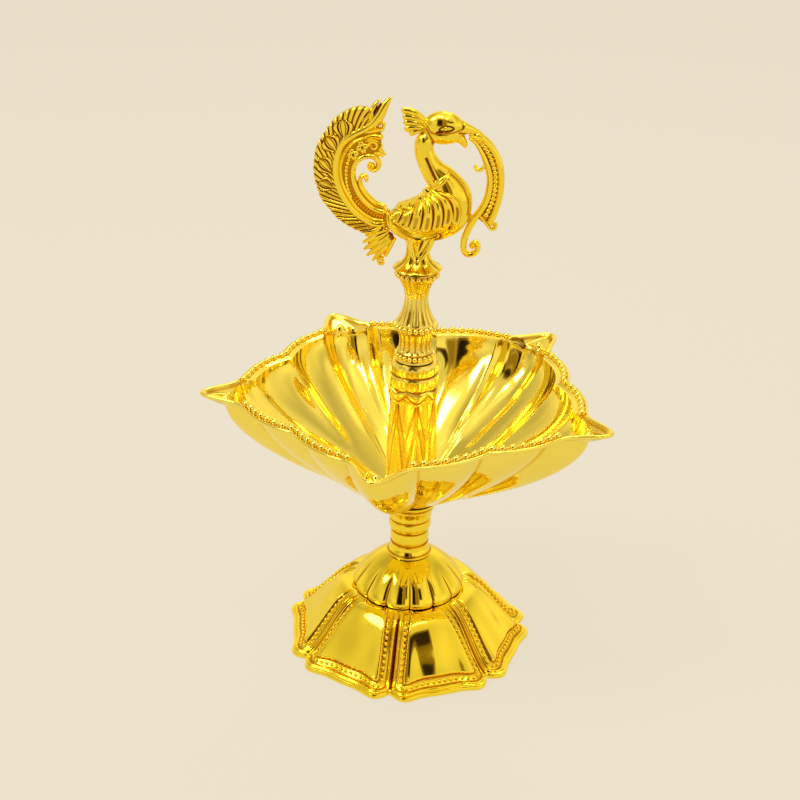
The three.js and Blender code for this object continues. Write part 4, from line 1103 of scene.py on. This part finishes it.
OUTER_EDGE = np.array([
    (-11.4, 13.7), (-14.4, 12.7), (-17.3, 12.5), (-19.8, 13.6), (-22.6, 14.9), (-27.0, 17.7), (-29.7, 20.8),
    (-32.5, 24.3), (-33.9, 28.0), (-34.9, 31.7), (-35.2, 34.9), (-34.9, 38.6), (-34.3, 41.8), (-33.1, 44.3),
    (-31.5, 47.1), (-29.5, 50.0), (-27.2, 52.4), (-24.1, 54.4), (-21.4, 55.4), (-18.4, 55.5), (-16.4, 54.6),
])
RIB = np.array([
    (-10.8, 16.4), (-14.9, 16.2), (-18.2, 17.9), (-21.5, 20.3), (-24.3, 23.6), (-26.4, 27.3), (-27.6, 31.0),
    (-28.0, 34.7), (-27.6, 38.7), (-26.4, 42.4), (-24.4, 44.9), (-21.3, 46.8), (-17.6, 48.8),
])


def tail_plate():
    """Ground of the tail between the broad rib and the scrolls: a flat web 1.7 mm thick."""
    outer = smooth_line([(-10.6, 15.8)] + [tuple(p) for p in RIB[1:]] + [(-15.2, 50.6)], 150)
    inner = smooth_line([
        (-10.6, 20.4), (-14.2, 21.2), (-16.8, 22.7), (-19.3, 25.2), (-21.1, 28.0), (-22.1, 31.1), (-22.3, 34.0),
        (-21.7, 36.6), (-20.1, 38.6), (-17.4, 40.2), (-14.6, 40.6), (-13.2, 42.4), (-13.0, 45.2),
        (-13.3, 47.6), (-14.0, 49.6),
    ], 150)
    share = np.linspace(0, 1, 14)[None, :, None]
    face = outer[:, None] * (1 - share) + inner[:, None] * share
    front = on_bird(face[..., 0], face[..., 1], -0.85)
    back = on_bird(face[..., 0], face[..., 1], 0.85)
    # The whole ground takes painted half shade, as recessed ground behind the raised work.
    groove = np.full(face.shape[:2], 0.5)
    return slab(front, back, groove, groove)


def feather_fringe():
    """Feathers from the rib to the outer edge, in relief on both faces, with four teardrop eyes.

    Barbs are ridges |cos πp|^0.7 high, p counting 29 of them along the rib and led on towards
    the tip by 0.085 v^0.8 of the way, v being the place from rib to edge. Each eye is a dome
    in a ring, both cut out of the barbs, by the distance across its axis over its half width.
    """
    rows, columns, barbs = 640, 30, 29
    u = np.linspace(0, 1, rows)[:, None]
    v = np.linspace(0, 1, columns)[None]
    rib = smooth_line(RIB, rows)[:, None]
    edge = smooth_line(OUTER_EDGE, rows)[:, None]
    place = rib + (edge - rib) * v[..., None]
    count = barbs * (u - 0.085 * v**0.8 * rise(u, 0, 0.12))
    ridge = np.abs(np.cos(np.pi * count))
    height = 0.1 + 0.85 * ridge**0.6
    # Painted shade between the barbs.
    groove = 0.9 * bump(ridge, 0, 0.36)
    eyes = (
        ((-25.0, 44.9), (-25.8, 51.4), 1.5), ((-27.3, 40.6), (-31.0, 45.6), 1.45),
        ((-29.1, 33.7), (-33.4, 38.2), 1.3), ((-28.4, 28.6), (-33.2, 30.5), 1.2),
    )
    for root, tip, half in eyes:
        axis = np.subtract(tip, root)
        length = np.hypot(*axis)
        axis = axis / length
        away = place - root
        t = np.clip((away @ axis) / length, 0, 1)
        width = half * (0.12 + np.sin(np.pi * t**1.4) ** 0.8)
        beyond = np.abs(np.clip((away @ axis) / length, -1, 2) - t) * length
        across = np.hypot(away[..., 0] * axis[1] - away[..., 1] * axis[0], beyond)
        f = across / width
        inside = rise(-f, -1.05, -0.95)
        ring = rise(-f, -2.15, -2.0) * (1 - inside)
        dome = 0.2 + 0.85 * np.sqrt(np.clip(1 - f**2, 0, 1)) - 0.35 * bump(f, 0.5, 0.16)
        band = np.abs(np.sin(np.pi * np.clip((f - 1.05) / 1.0, 0, 1)))
        height = height * (1 - inside - ring) + dome * inside + (0.1 + 0.95 * band**0.6) * ring
        # Painted shade in the eyes' rings and round their domes.
        rings = 0.85 * bump(band, 0, 0.35) * ring
        groove = groove * (1 - inside - ring) + rings + 0.8 * (bump(f, 1.0, 0.14) + bump(f, 0.5, 0.1)) * inside
    scallop = (0.35 * ridge**0.8 - 0.2) * rise(v, 0.8, 1)
    normal = (edge - rib) / np.linalg.norm(edge - rib, axis=-1, keepdims=True)
    place = place + normal * scallop[..., None]
    height = height * (1 - 0.75 * rise(v, 0.9, 1.0) ** 2) * rise(u, 0, 0.01) * rise(-u, -1, -0.985)
    stand = 0.85 + height
    front = on_bird(place[..., 0], place[..., 1], -stand)
    back = on_bird(place[..., 0], place[..., 1], stand)
    return slab(front, back, groove, groove)


def flower(x, height, size):
    """Four-petal flower on both faces, its middle hole shown by a bead painted in dark shade."""
    turn = np.arange(4) * 90 + 20
    spots = around(turn, size * 0.58, 0)[:, :2] + (x, height)
    parts = []
    for side in (-1, 1):
        parts.append(studs(on_bird(spots[:, 0], spots[:, 1], side * 0.7), size * 0.62, sides=14, rings=8))
        hole_shade = on_bird(np.array([x]), np.array([height]), side * 1.2)
        parts.append(studs(hole_shade, size * 0.3, sides=10, rings=6))
        # The middle bead is painted in dark shade, for the hole.
        points, quads, groove = parts[-1]
        parts[-1] = (points, quads, groove + 0.95)
    return parts


def peacock_tail():
    """Cast tail: ground, broad rib, thin rib, beaded band, scrolls, feather fringe, tip and tuft."""
    parts = [tail_plate(), feather_fringe()]
    rib = np.column_stack([RIB, np.linspace(1.25, 1.6, len(RIB)), np.full(len(RIB), 2.0)])
    tip = [
        [-15.6, 50.4, 1.8, 2.0], [-13.8, 52.8, 1.9, 1.8], [-12.4, 55.4, 1.5, 1.5], [-11.1, 57.4, 0.95, 1.0],
        [-9.6, 59.0, 0.15, 0.3],
    ]
    parts.append(strip(np.vstack([rib, tip]), 150, sides=14))
    second = [
        [-17.2, 50.4, 0.5, 1.2], [-16.4, 53.2, 0.9, 1.3], [-15.4, 55.8, 0.9, 1.1], [-13.8, 58.0, 0.2, 0.4],
    ]
    parts.append(strip(second, 30))
    # Strip painted in dark shade in the cleft between the two tips.
    shaded_cleft = [[-15.9, 51.8, 0.15, 1.5], [-14.7, 54.4, 0.4, 1.6], [-13.3, 57.0, 0.15, 0.8]]
    parts.append(strip(shaded_cleft, 30, groove=0.85))
    thin = [
        (-11.4, 17.6), (-15.3, 18.1), (-18.2, 19.7), (-20.7, 21.8), (-23.1, 25.1), (-25.1, 28.8),
        (-26.0, 32.2), (-26.2, 35.9), (-25.2, 39.6), (-23.5, 42.4), (-21.2, 44.4), (-18.1, 45.6),
        (-15.3, 46.0), (-12.2, 45.6),
    ]
    parts.append(strip([[*p, 0.8 + 0.3 * (i > 11), 1.85] for i, p in enumerate(thin)], 110, sides=12))
    parts.append(strip([[-20.0, 46.9, 0.5, 1.4], [-15.6, 47.8, 1.0, 1.8], [-11.9, 48.4, 0.7, 1.5]], 24))
    parts.append(curl((-12.9, 49.8), 0.9, 0.2, -90, 330, 0.75, 1.6))
    parts.append(strip([[-15.4, 49.4, 0.4, 1.4], [-13.8, 50.8, 0.6, 1.5], [-12.7, 51.6, 0.4, 1.2]], 20))
    band = [
        (-10.8, 20.3), (-14.2, 21.1), (-16.6, 22.5), (-19.1, 25.0), (-20.9, 27.8), (-22.0, 31.1),
        (-22.2, 34.0), (-21.6, 36.5), (-20.0, 38.4), (-17.6, 39.3), (-15.2, 39.0), (-13.8, 37.4),
        (-14.0, 35.5), (-15.4, 34.6), (-16.7, 35.3), (-16.7, 36.5), (-15.8, 36.9),
    ]
    widths = np.interp(np.arange(len(band)), [0, 9, 16], [1.15, 1.05, 0.7])
    parts.append(strip([[*p, w, 1.9 - 0.02 * i] for i, (p, w) in enumerate(zip(band, widths))], 170, sides=14))
    eyes = on_bird(np.full(2, -15.6), np.full(2, 36.2), np.array([-1.2, 1.2]))
    parts.append(studs(eyes, 0.75, sides=12, rings=8))
    small = [
        (-10.9, 21.9), (-14.2, 23.2), (-16.7, 25.2), (-18.7, 27.6), (-19.6, 29.5), (-19.8, 31.2),
        (-19.2, 32.4), (-18.1, 32.5), (-17.7, 31.4), (-18.4, 30.8),
    ]
    parts.append(strip([[*p, 0.95 - 0.02 * i, 1.7] for i, p in enumerate(small)], 90, sides=12))
    # Strip painted in dark shade in the gap between the beaded band and the small scroll.
    parts.append(strip([[-12.6, 21.8, 0.4, 0.9], [-17.6, 25.0, 0.7, 0.9], [-20.9, 30.4, 0.6, 0.9]], 40, groove=0.7))
    dots = [(-22.9, 25.6), (-23.6, 27.6), (-24.2, 30.0), (-24.4, 32.2), (-24.4, 34.4), (-24.1, 36.4), (-23.6, 38.0)]
    parts += both_faces(dots, 1.3, 0.68, 1.0)
    ticks = smooth_line([(-12.0, 19.0), (-14.8, 19.6), (-17.3, 21.0), (-19.8, 23.4), (-21.7, 26.0)], 13)
    for here, ahead in zip(ticks[:-1], ticks[1:]):
        away = np.array([ahead[1] - here[1], here[0] - ahead[0]])
        away = away / np.hypot(*away) * 1.0
        parts.append(strip([[*(here - away), 0.5, 1.95], [*(here + away), 0.5, 1.95]], 8, sides=8))
    parts += flower(-22.2, 39.8, 1.75) + flower(-19.2, 42.3, 1.85)
    parts.append(curl((-15.6, 42.7), 1.75, 0.45, 200, -430, 0.95, 1.75))
    parts.append(strip([[-15.6, 40.7, 0.5, 1.2], [-13.6, 40.2, 1.0, 1.4], [-11.2, 39.9, 0.3, 0.6]], 20))
    parts.append(strip([[-14.2, 41.6, 0.4, 1.0], [-12.7, 40.9, 0.8, 1.2], [-12.4, 38.8, 0.35, 0.7]], 20))
    for start, middle, end in (
        ([-18.6, 44.0], [-16.4, 44.9], [-13.4, 44.2]), ([-17.6, 40.4], [-16.2, 39.9], [-14.4, 40.2]),
        ([-13.6, 44.0], [-13.0, 42.6], [-14.0, 41.2]),
    ):
        parts.append(strip([[*start, 0.3, 1.1], [*middle, 0.65, 1.4], [*end, 0.3, 1.1]], 20))
    parts.append(curl((-17.0, 53.6), 1.35, 0.4, 250, 400, 0.6, 1.3))
    parts.append(curl((-20.3, 53.6), 1.1, 0.35, 250, 400, 0.55, 1.2))
    parts.append(strip([[-19.4, 49.6, 0.4, 1.2], [-19.0, 51.6, 0.7, 1.4], [-17.6, 52.6, 0.4, 1.2]], 20))
    parts += tail_tuft()
    return parts


def tail_tuft():
    """Drooping tuft under the tail's root: broad blades over a ground painted in dark shade, and a stem with a
    curl.
    """
    blades = (
        ([-9.6, 14.8], [-13.8, 13.4], [-18.0, 11.8], 1.35), ([-9.8, 13.9], [-14.2, 11.6], [-18.9, 9.4], 1.5),
        ([-9.6, 12.9], [-13.8, 9.8], [-18.6, 7.0], 1.5), ([-9.3, 12.1], [-13.2, 8.0], [-17.6, 4.7], 1.45),
        ([-9.0, 11.4], [-12.2, 6.8], [-15.6, 2.9], 1.2),
    )
    parts = [strip([[*a, 0.8, 1.4], [*b, w, 1.6], [*c, 0.3, 0.8]], 26, sides=12) for a, b, c, w in blades]
    # Ground sheet painted in dark shade behind the blades.
    parts.append(strip([[-8.6, 12.8, 2.1, 0.8], [-12.8, 9.6, 3.6, 0.9], [-16.2, 7.2, 4.2, 0.6]], 24, groove=0.85))
    parts.append(strip([[-7.7, 11.6, 0.7, 1.3], [-9.9, 7.4, 0.85, 1.2], [-11.2, 4.6, 0.75, 1.1]], 26))
    parts.append(curl((-12.3, 2.9), 1.35, 0.4, 45, 400, 0.75, 1.25))
    return parts


def beak_garland():
    """Garland: a band with a rope of beads between two rolls, a hook, a leaf and three scrolls."""
    outer = [
        (17.4, 47.4), (20.5, 45.8), (23.1, 43.1), (25.0, 40.0), (26.3, 36.2), (26.8, 32.0), (26.6, 27.4),
        (25.8, 23.2), (24.5, 19.2), (23.4, 16.8),
    ]
    inner = [
        (15.6, 46.4), (18.0, 44.5), (20.1, 41.3), (21.6, 38.1), (22.8, 34.8), (23.3, 31.5), (22.9, 27.3),
        (22.0, 24.3), (20.4, 21.4), (18.5, 18.6), (16.8, 15.2), (15.6, 11.9), (15.3, 8.9), (16.0, 6.8),
        (17.8, 6.2), (19.8, 7.3), (20.3, 9.3), (19.3, 10.5), (18.2, 9.9), (18.4, 8.8),
    ]
    parts = [strip([[*p, 1.25, 1.7] for p in outer], 100, sides=12)]
    widths = [np.interp(i, [0, 3, 6, 9, 14, 19], [0.7, 1.1, 1.3, 1.3, 1.05, 0.7]) for i in range(len(inner))]
    parts.append(strip([[*p, w, 1.6] for p, w in zip(inner, widths)], 190, sides=12))
    middle = [[(a[0] + b[0]) / 2, (a[1] + b[1]) / 2] for a, b in zip(outer, inner)]
    # Ground between the rolls, painted in dark shade.
    ground = [[*m, w, 0.8] for m, w in zip(middle, (0.9, 1.5, 1.8, 2.0, 2.0, 2.0, 2.0, 2.0, 2.1, 1.8))]
    parts.append(strip(ground, 80, groove=0.8))
    rope = [[0.5 * a[0] + 0.5 * b[0], 0.5 * a[1] + 0.5 * b[1]] for a, b in zip(outer, inner)]
    parts += both_faces(rope[:9], 1.5, 0.9, 0.85, 1.0)
    ticks = smooth_line(rope[8:10], 6)
    for here, ahead in zip(ticks[:-1], ticks[1:]):
        away = np.array([ahead[1] - here[1], here[0] - ahead[0]])
        away = away / np.hypot(*away) * 1.4
        parts.append(strip([[*(here - away), 0.3, 1.2], [*(here + away), 0.3, 1.2]], 8, sides=8))
    parts.append(strip([[20.1, 20.2, 0.5, 1.2], [22.2, 17.8, 0.7, 1.3], [24.2, 15.2, 0.6, 1.1]], 20))
    parts.append(curl((24.6, 16.3), 1.45, 0.4, 60, -400, 0.7, 1.25))
    hook = [(21.7, 39.4), (21.2, 37.1), (20.2, 35.7), (18.8, 35.4), (18.1, 36.4), (18.8, 37.1)]
    parts.append(strip([[*p, 0.62, 1.15] for p in hook], 40))
    parts.append(studs(on_bird(np.array([18.3]), np.array([9.3])), 1.2, sides=12, rings=8))
    # Leaf darkened part way by painted shade.
    parts.append(strip([[15.0, 21.0, 1.0, 1.4], [17.0, 18.8, 1.5, 1.5], [18.4, 17.2, 1.0, 1.3]], 20, groove=0.35))
    return parts


# Build

piece("cast_foot_skirt", [foot_skirt(), *petal_beads()], "foot", POLISHED, ["foot_skirt"])
piece("lobed_dome", [foot_dome()], "dome", POLISHED, ["foot_dome"])
piece("turned_stem", [lower_stem()], "stem", POLISHED, ["lower_stem"])
piece("spouted_bowl", [bowl(), *rim_beads()], "bowl", BOWL_METAL, ["bowl"])
piece("leafed_pillar", [column_sleeve()], "pillar", COLUMN_METAL, ["column_sleeve"])
piece("fluted_vase", column_vase(), "vase", COLUMN_METAL, ["column_vase"])
piece("peacock", peacock_body(), "peacock", CHASED, ["peacock_body"])
piece("plume_tail", peacock_tail(), "peacock", CHASED, ["peacock_tail"])
piece("beaded_garland", beak_garland(), "peacock", CHASED, ["beak_garland"])

for node, finish in (("foot_washer", PLAIN), ("foot_nut", PLAIN), ("bowl_seal", SEAL)):
    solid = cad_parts[node]
    solid.data.materials.clear()
    solid.data.materials.append(finish)

# Floor, light and camera

CREAM = (0.863, 0.776, 0.617)
STUDIO_MIDDLE = (0, 0, 0.09)


def seen_by_eye_or_mirror(tree):
    """Socket that is 1 for camera, glossy and transmission rays, and 0 for light on surfaces."""
    path = tree.nodes.new("ShaderNodeLightPath")
    first = tree.nodes.new("ShaderNodeMath")
    first.operation = "MAXIMUM"
    second = tree.nodes.new("ShaderNodeMath")
    second.operation = "MAXIMUM"
    link(tree, path, "Is Camera Ray", first, 0)
    link(tree, path, "Is Glossy Ray", first, 1)
    link(tree, first, "Value", second, 0)
    link(tree, path, "Is Transmission Ray", second, 1)
    return second


def studio_world():
    """Sky: even on surfaces, cream to the eye, and drifting walls under a pale top in mirrors."""
    world = bpy.data.worlds.new("studio")
    bpy.context.scene.world = world
    world.use_nodes = True
    sky = world.node_tree
    sky.nodes.clear()
    even = sky.nodes.new("ShaderNodeBackground")
    even.inputs["Color"].default_value = (1, 1, 1, 1)
    even.inputs["Strength"].default_value = 0.5
    cream = sky.nodes.new("ShaderNodeBackground")
    cream.inputs["Color"].default_value = (*CREAM, 1)
    walls = sky.nodes.new("ShaderNodeBackground")
    walls.inputs["Color"].default_value = (0.9, 0.8, 0.62, 1)
    view = sky.nodes.new("ShaderNodeTexCoord")
    drift = sky.nodes.new("ShaderNodeTexNoise")
    drift.inputs["Scale"].default_value = 1.3
    drift.inputs["Detail"].default_value = 1.0
    level = sky.nodes.new("ShaderNodeMapRange")
    level.inputs["From Min"].default_value = 0.3
    level.inputs["From Max"].default_value = 0.7
    level.inputs["To Min"].default_value = 0.6
    level.inputs["To Max"].default_value = 1.25
    height = sky.nodes.new("ShaderNodeSeparateXYZ")
    overhead = sky.nodes.new("ShaderNodeMapRange")
    overhead.interpolation_type = "SMOOTHSTEP"
    overhead.inputs["From Min"].default_value = 0.8
    overhead.inputs["From Max"].default_value = 0.97
    overhead.inputs["To Max"].default_value = 0.5
    strength = sky.nodes.new("ShaderNodeMath")
    path = sky.nodes.new("ShaderNodeLightPath")
    backdrop = sky.nodes.new("ShaderNodeMixShader")
    choose = sky.nodes.new("ShaderNodeMixShader")
    shown = sky.nodes.new("ShaderNodeOutputWorld")
    link(sky, view, "Generated", drift, "Vector")
    link(sky, drift, "Fac", level, "Value")
    link(sky, view, "Generated", height, "Vector")
    link(sky, height, "Z", overhead, "Value")
    link(sky, level, "Result", strength, 0)
    link(sky, overhead, "Result", strength, 1)
    link(sky, strength, "Value", walls, "Strength")
    link(sky, path, "Is Glossy Ray", backdrop, "Fac")
    link(sky, cream, "Background", backdrop, 1)
    link(sky, walls, "Background", backdrop, 2)
    link(sky, seen_by_eye_or_mirror(sky), "Value", choose, "Fac")
    link(sky, even, "Background", choose, 1)
    link(sky, backdrop, "Shader", choose, 2)
    link(sky, choose, "Shader", shown, "Surface")


studio_world()


def flat_board(name, centre, right, up, material):
    """Board in the studio: four corners, half a width and half a height from its centre."""
    centre, right, up = (np.array(v, float) for v in (centre, right, up))
    corners = [centre - right - up, centre + right - up, centre + right + up, centre - right + up]
    mesh = bpy.data.meshes.new(name)
    mesh.from_pydata([tuple(c) for c in corners], [], [(0, 1, 2, 3)])
    mesh.materials.append(material)
    thing = placed(name, mesh)
    return thing


def floor_finish():
    """Cream floor: it glows by 0.85 to the eye and in mirrors, and is matt to light."""
    material = bpy.data.materials.new("cream_floor")
    material.use_nodes = True
    tree = material.node_tree
    tree.nodes.clear()
    matt = tree.nodes.new("ShaderNodeBsdfDiffuse")
    matt.inputs["Color"].default_value = (*CREAM, 1)
    bright = tree.nodes.new("ShaderNodeEmission")
    bright.inputs["Color"].default_value = (*CREAM, 1)
    mixed = tree.nodes.new("ShaderNodeMixShader")
    share = tree.nodes.new("ShaderNodeMath")
    share.operation = "MULTIPLY"
    share.inputs[1].default_value = 0.85
    out = tree.nodes.new("ShaderNodeOutputMaterial")
    link(tree, seen_by_eye_or_mirror(tree), "Value", share, 0)
    link(tree, share, "Value", mixed, "Fac")
    link(tree, matt, "BSDF", mixed, 1)
    link(tree, bright, "Emission", mixed, 2)
    link(tree, mixed, "Shader", out, "Surface")
    return material


flat_board("floor", (0, 0, 0), (6, 0, 0), (0, 6, 0), floor_finish())


def card_finish(name, core, border):
    """Card that mirrors show in flat colour: core in the middle, fading to border over its outer fifth."""
    material = bpy.data.materials.new(name)
    material.use_nodes = True
    tree = material.node_tree
    tree.nodes.clear()
    place = tree.nodes.new("ShaderNodeAttribute")
    place.attribute_name = "groove"
    mix = tree.nodes.new("ShaderNodeMix")
    mix.data_type = "RGBA"
    mix.inputs["A"].default_value = (*core, 1)
    mix.inputs["B"].default_value = (*border, 1)
    glow = tree.nodes.new("ShaderNodeEmission")
    end = tree.nodes.new("ShaderNodeOutputMaterial")
    link(tree, place, "Fac", mix, "Factor")
    link(tree, mix, "Result", glow, "Color")
    link(tree, glow, "Emission", end, "Surface")
    return material


def card(name, azimuth, elevation, distance, width, height, core, border):
    """Card that faces the lamp from a direction, seen in reflections only."""
    away = around(azimuth, np.cos(np.radians(elevation)), np.sin(np.radians(elevation)))
    right = around(azimuth + 90, 1.0, 0.0)
    up = np.cross(away, right)
    across = np.array([-0.5, -0.36, -0.3, 0.3, 0.36, 0.5])
    x, y = np.meshgrid(across * width, across * height)
    points = away * distance + x[..., None] * right + y[..., None] * up + STUDIO_MIDDLE
    index = np.arange(36).reshape(6, 6)
    quads = quads_between(index)
    edge = np.maximum(*np.meshgrid(np.abs(across), np.abs(across)))
    fade = rise(edge, 0.3, 0.4)
    mesh = mesh_of(name, (points.reshape(-1, 3) * 1000, quads, fade.ravel()))
    mesh.materials.append(card_finish(name, core, border))
    thing = placed(name, mesh)
    thing.visible_camera = False
    thing.visible_diffuse = False
    thing.visible_shadow = False
    return thing


DARK = (0.012, 0.006, 0.002)
card("dark_card_front", -12, 33, 1.3, 0.6, 1.25, DARK, (0.2, 0.11, 0.03))
card("brown_card_front", 9, 33, 1.28, 0.36, 1.2, (0.3, 0.19, 0.05), (0.5, 0.36, 0.14))
card("dark_card_right", 27, 40, 1.25, 0.26, 0.36, (0.03, 0.018, 0.005), (0.3, 0.2, 0.06))


def softbox(name, azimuth, elevation, distance, width, height, radiance):
    """Rectangular lamp that faces the lamp's middle; its power is radiance times π times its area."""
    lamp = bpy.data.lights.new(name, "AREA")
    lamp.shape = "RECTANGLE"
    lamp.size, lamp.size_y = width, height
    lamp.energy = radiance * np.pi * width * height
    thing = placed(name, lamp)
    place = around(azimuth, distance * np.cos(np.radians(elevation)), distance * np.sin(np.radians(elevation)))
    thing.matrix_world = Matrix.Translation(tuple(place + STUDIO_MIDDLE)) @ Euler(
        (np.radians(90 - elevation), 0, np.radians(azimuth)), "XYZ"
    ).to_matrix().to_4x4()
    return thing


softbox("softbox_left", -72, 54, 1.3, 0.4, 0.42, 8.0)
softbox("softbox_top", -40, 78, 1.3, 0.5, 0.16, 8.0)
softbox("softbox_right", 36, 66, 1.3, 0.2, 0.14, 8.0)
softbox("softbox_back", 165, 50, 1.3, 0.4, 0.3, 5.0)

lens = bpy.data.cameras.new("camera")
lens.lens = 62.54
lens.clip_start = 0.01
camera = placed("camera", lens)
camera.matrix_world = (
    Matrix.Translation((-0.0007, -0.44519, 0.30465))
    @ Matrix.Rotation(np.radians(90 - 24.83), 4, "X")
    @ Matrix.Rotation(np.radians(1.43), 4, "Z")
)
bpy.context.scene.camera = camera
bpy.context.scene.view_settings.view_transform = "Standard"
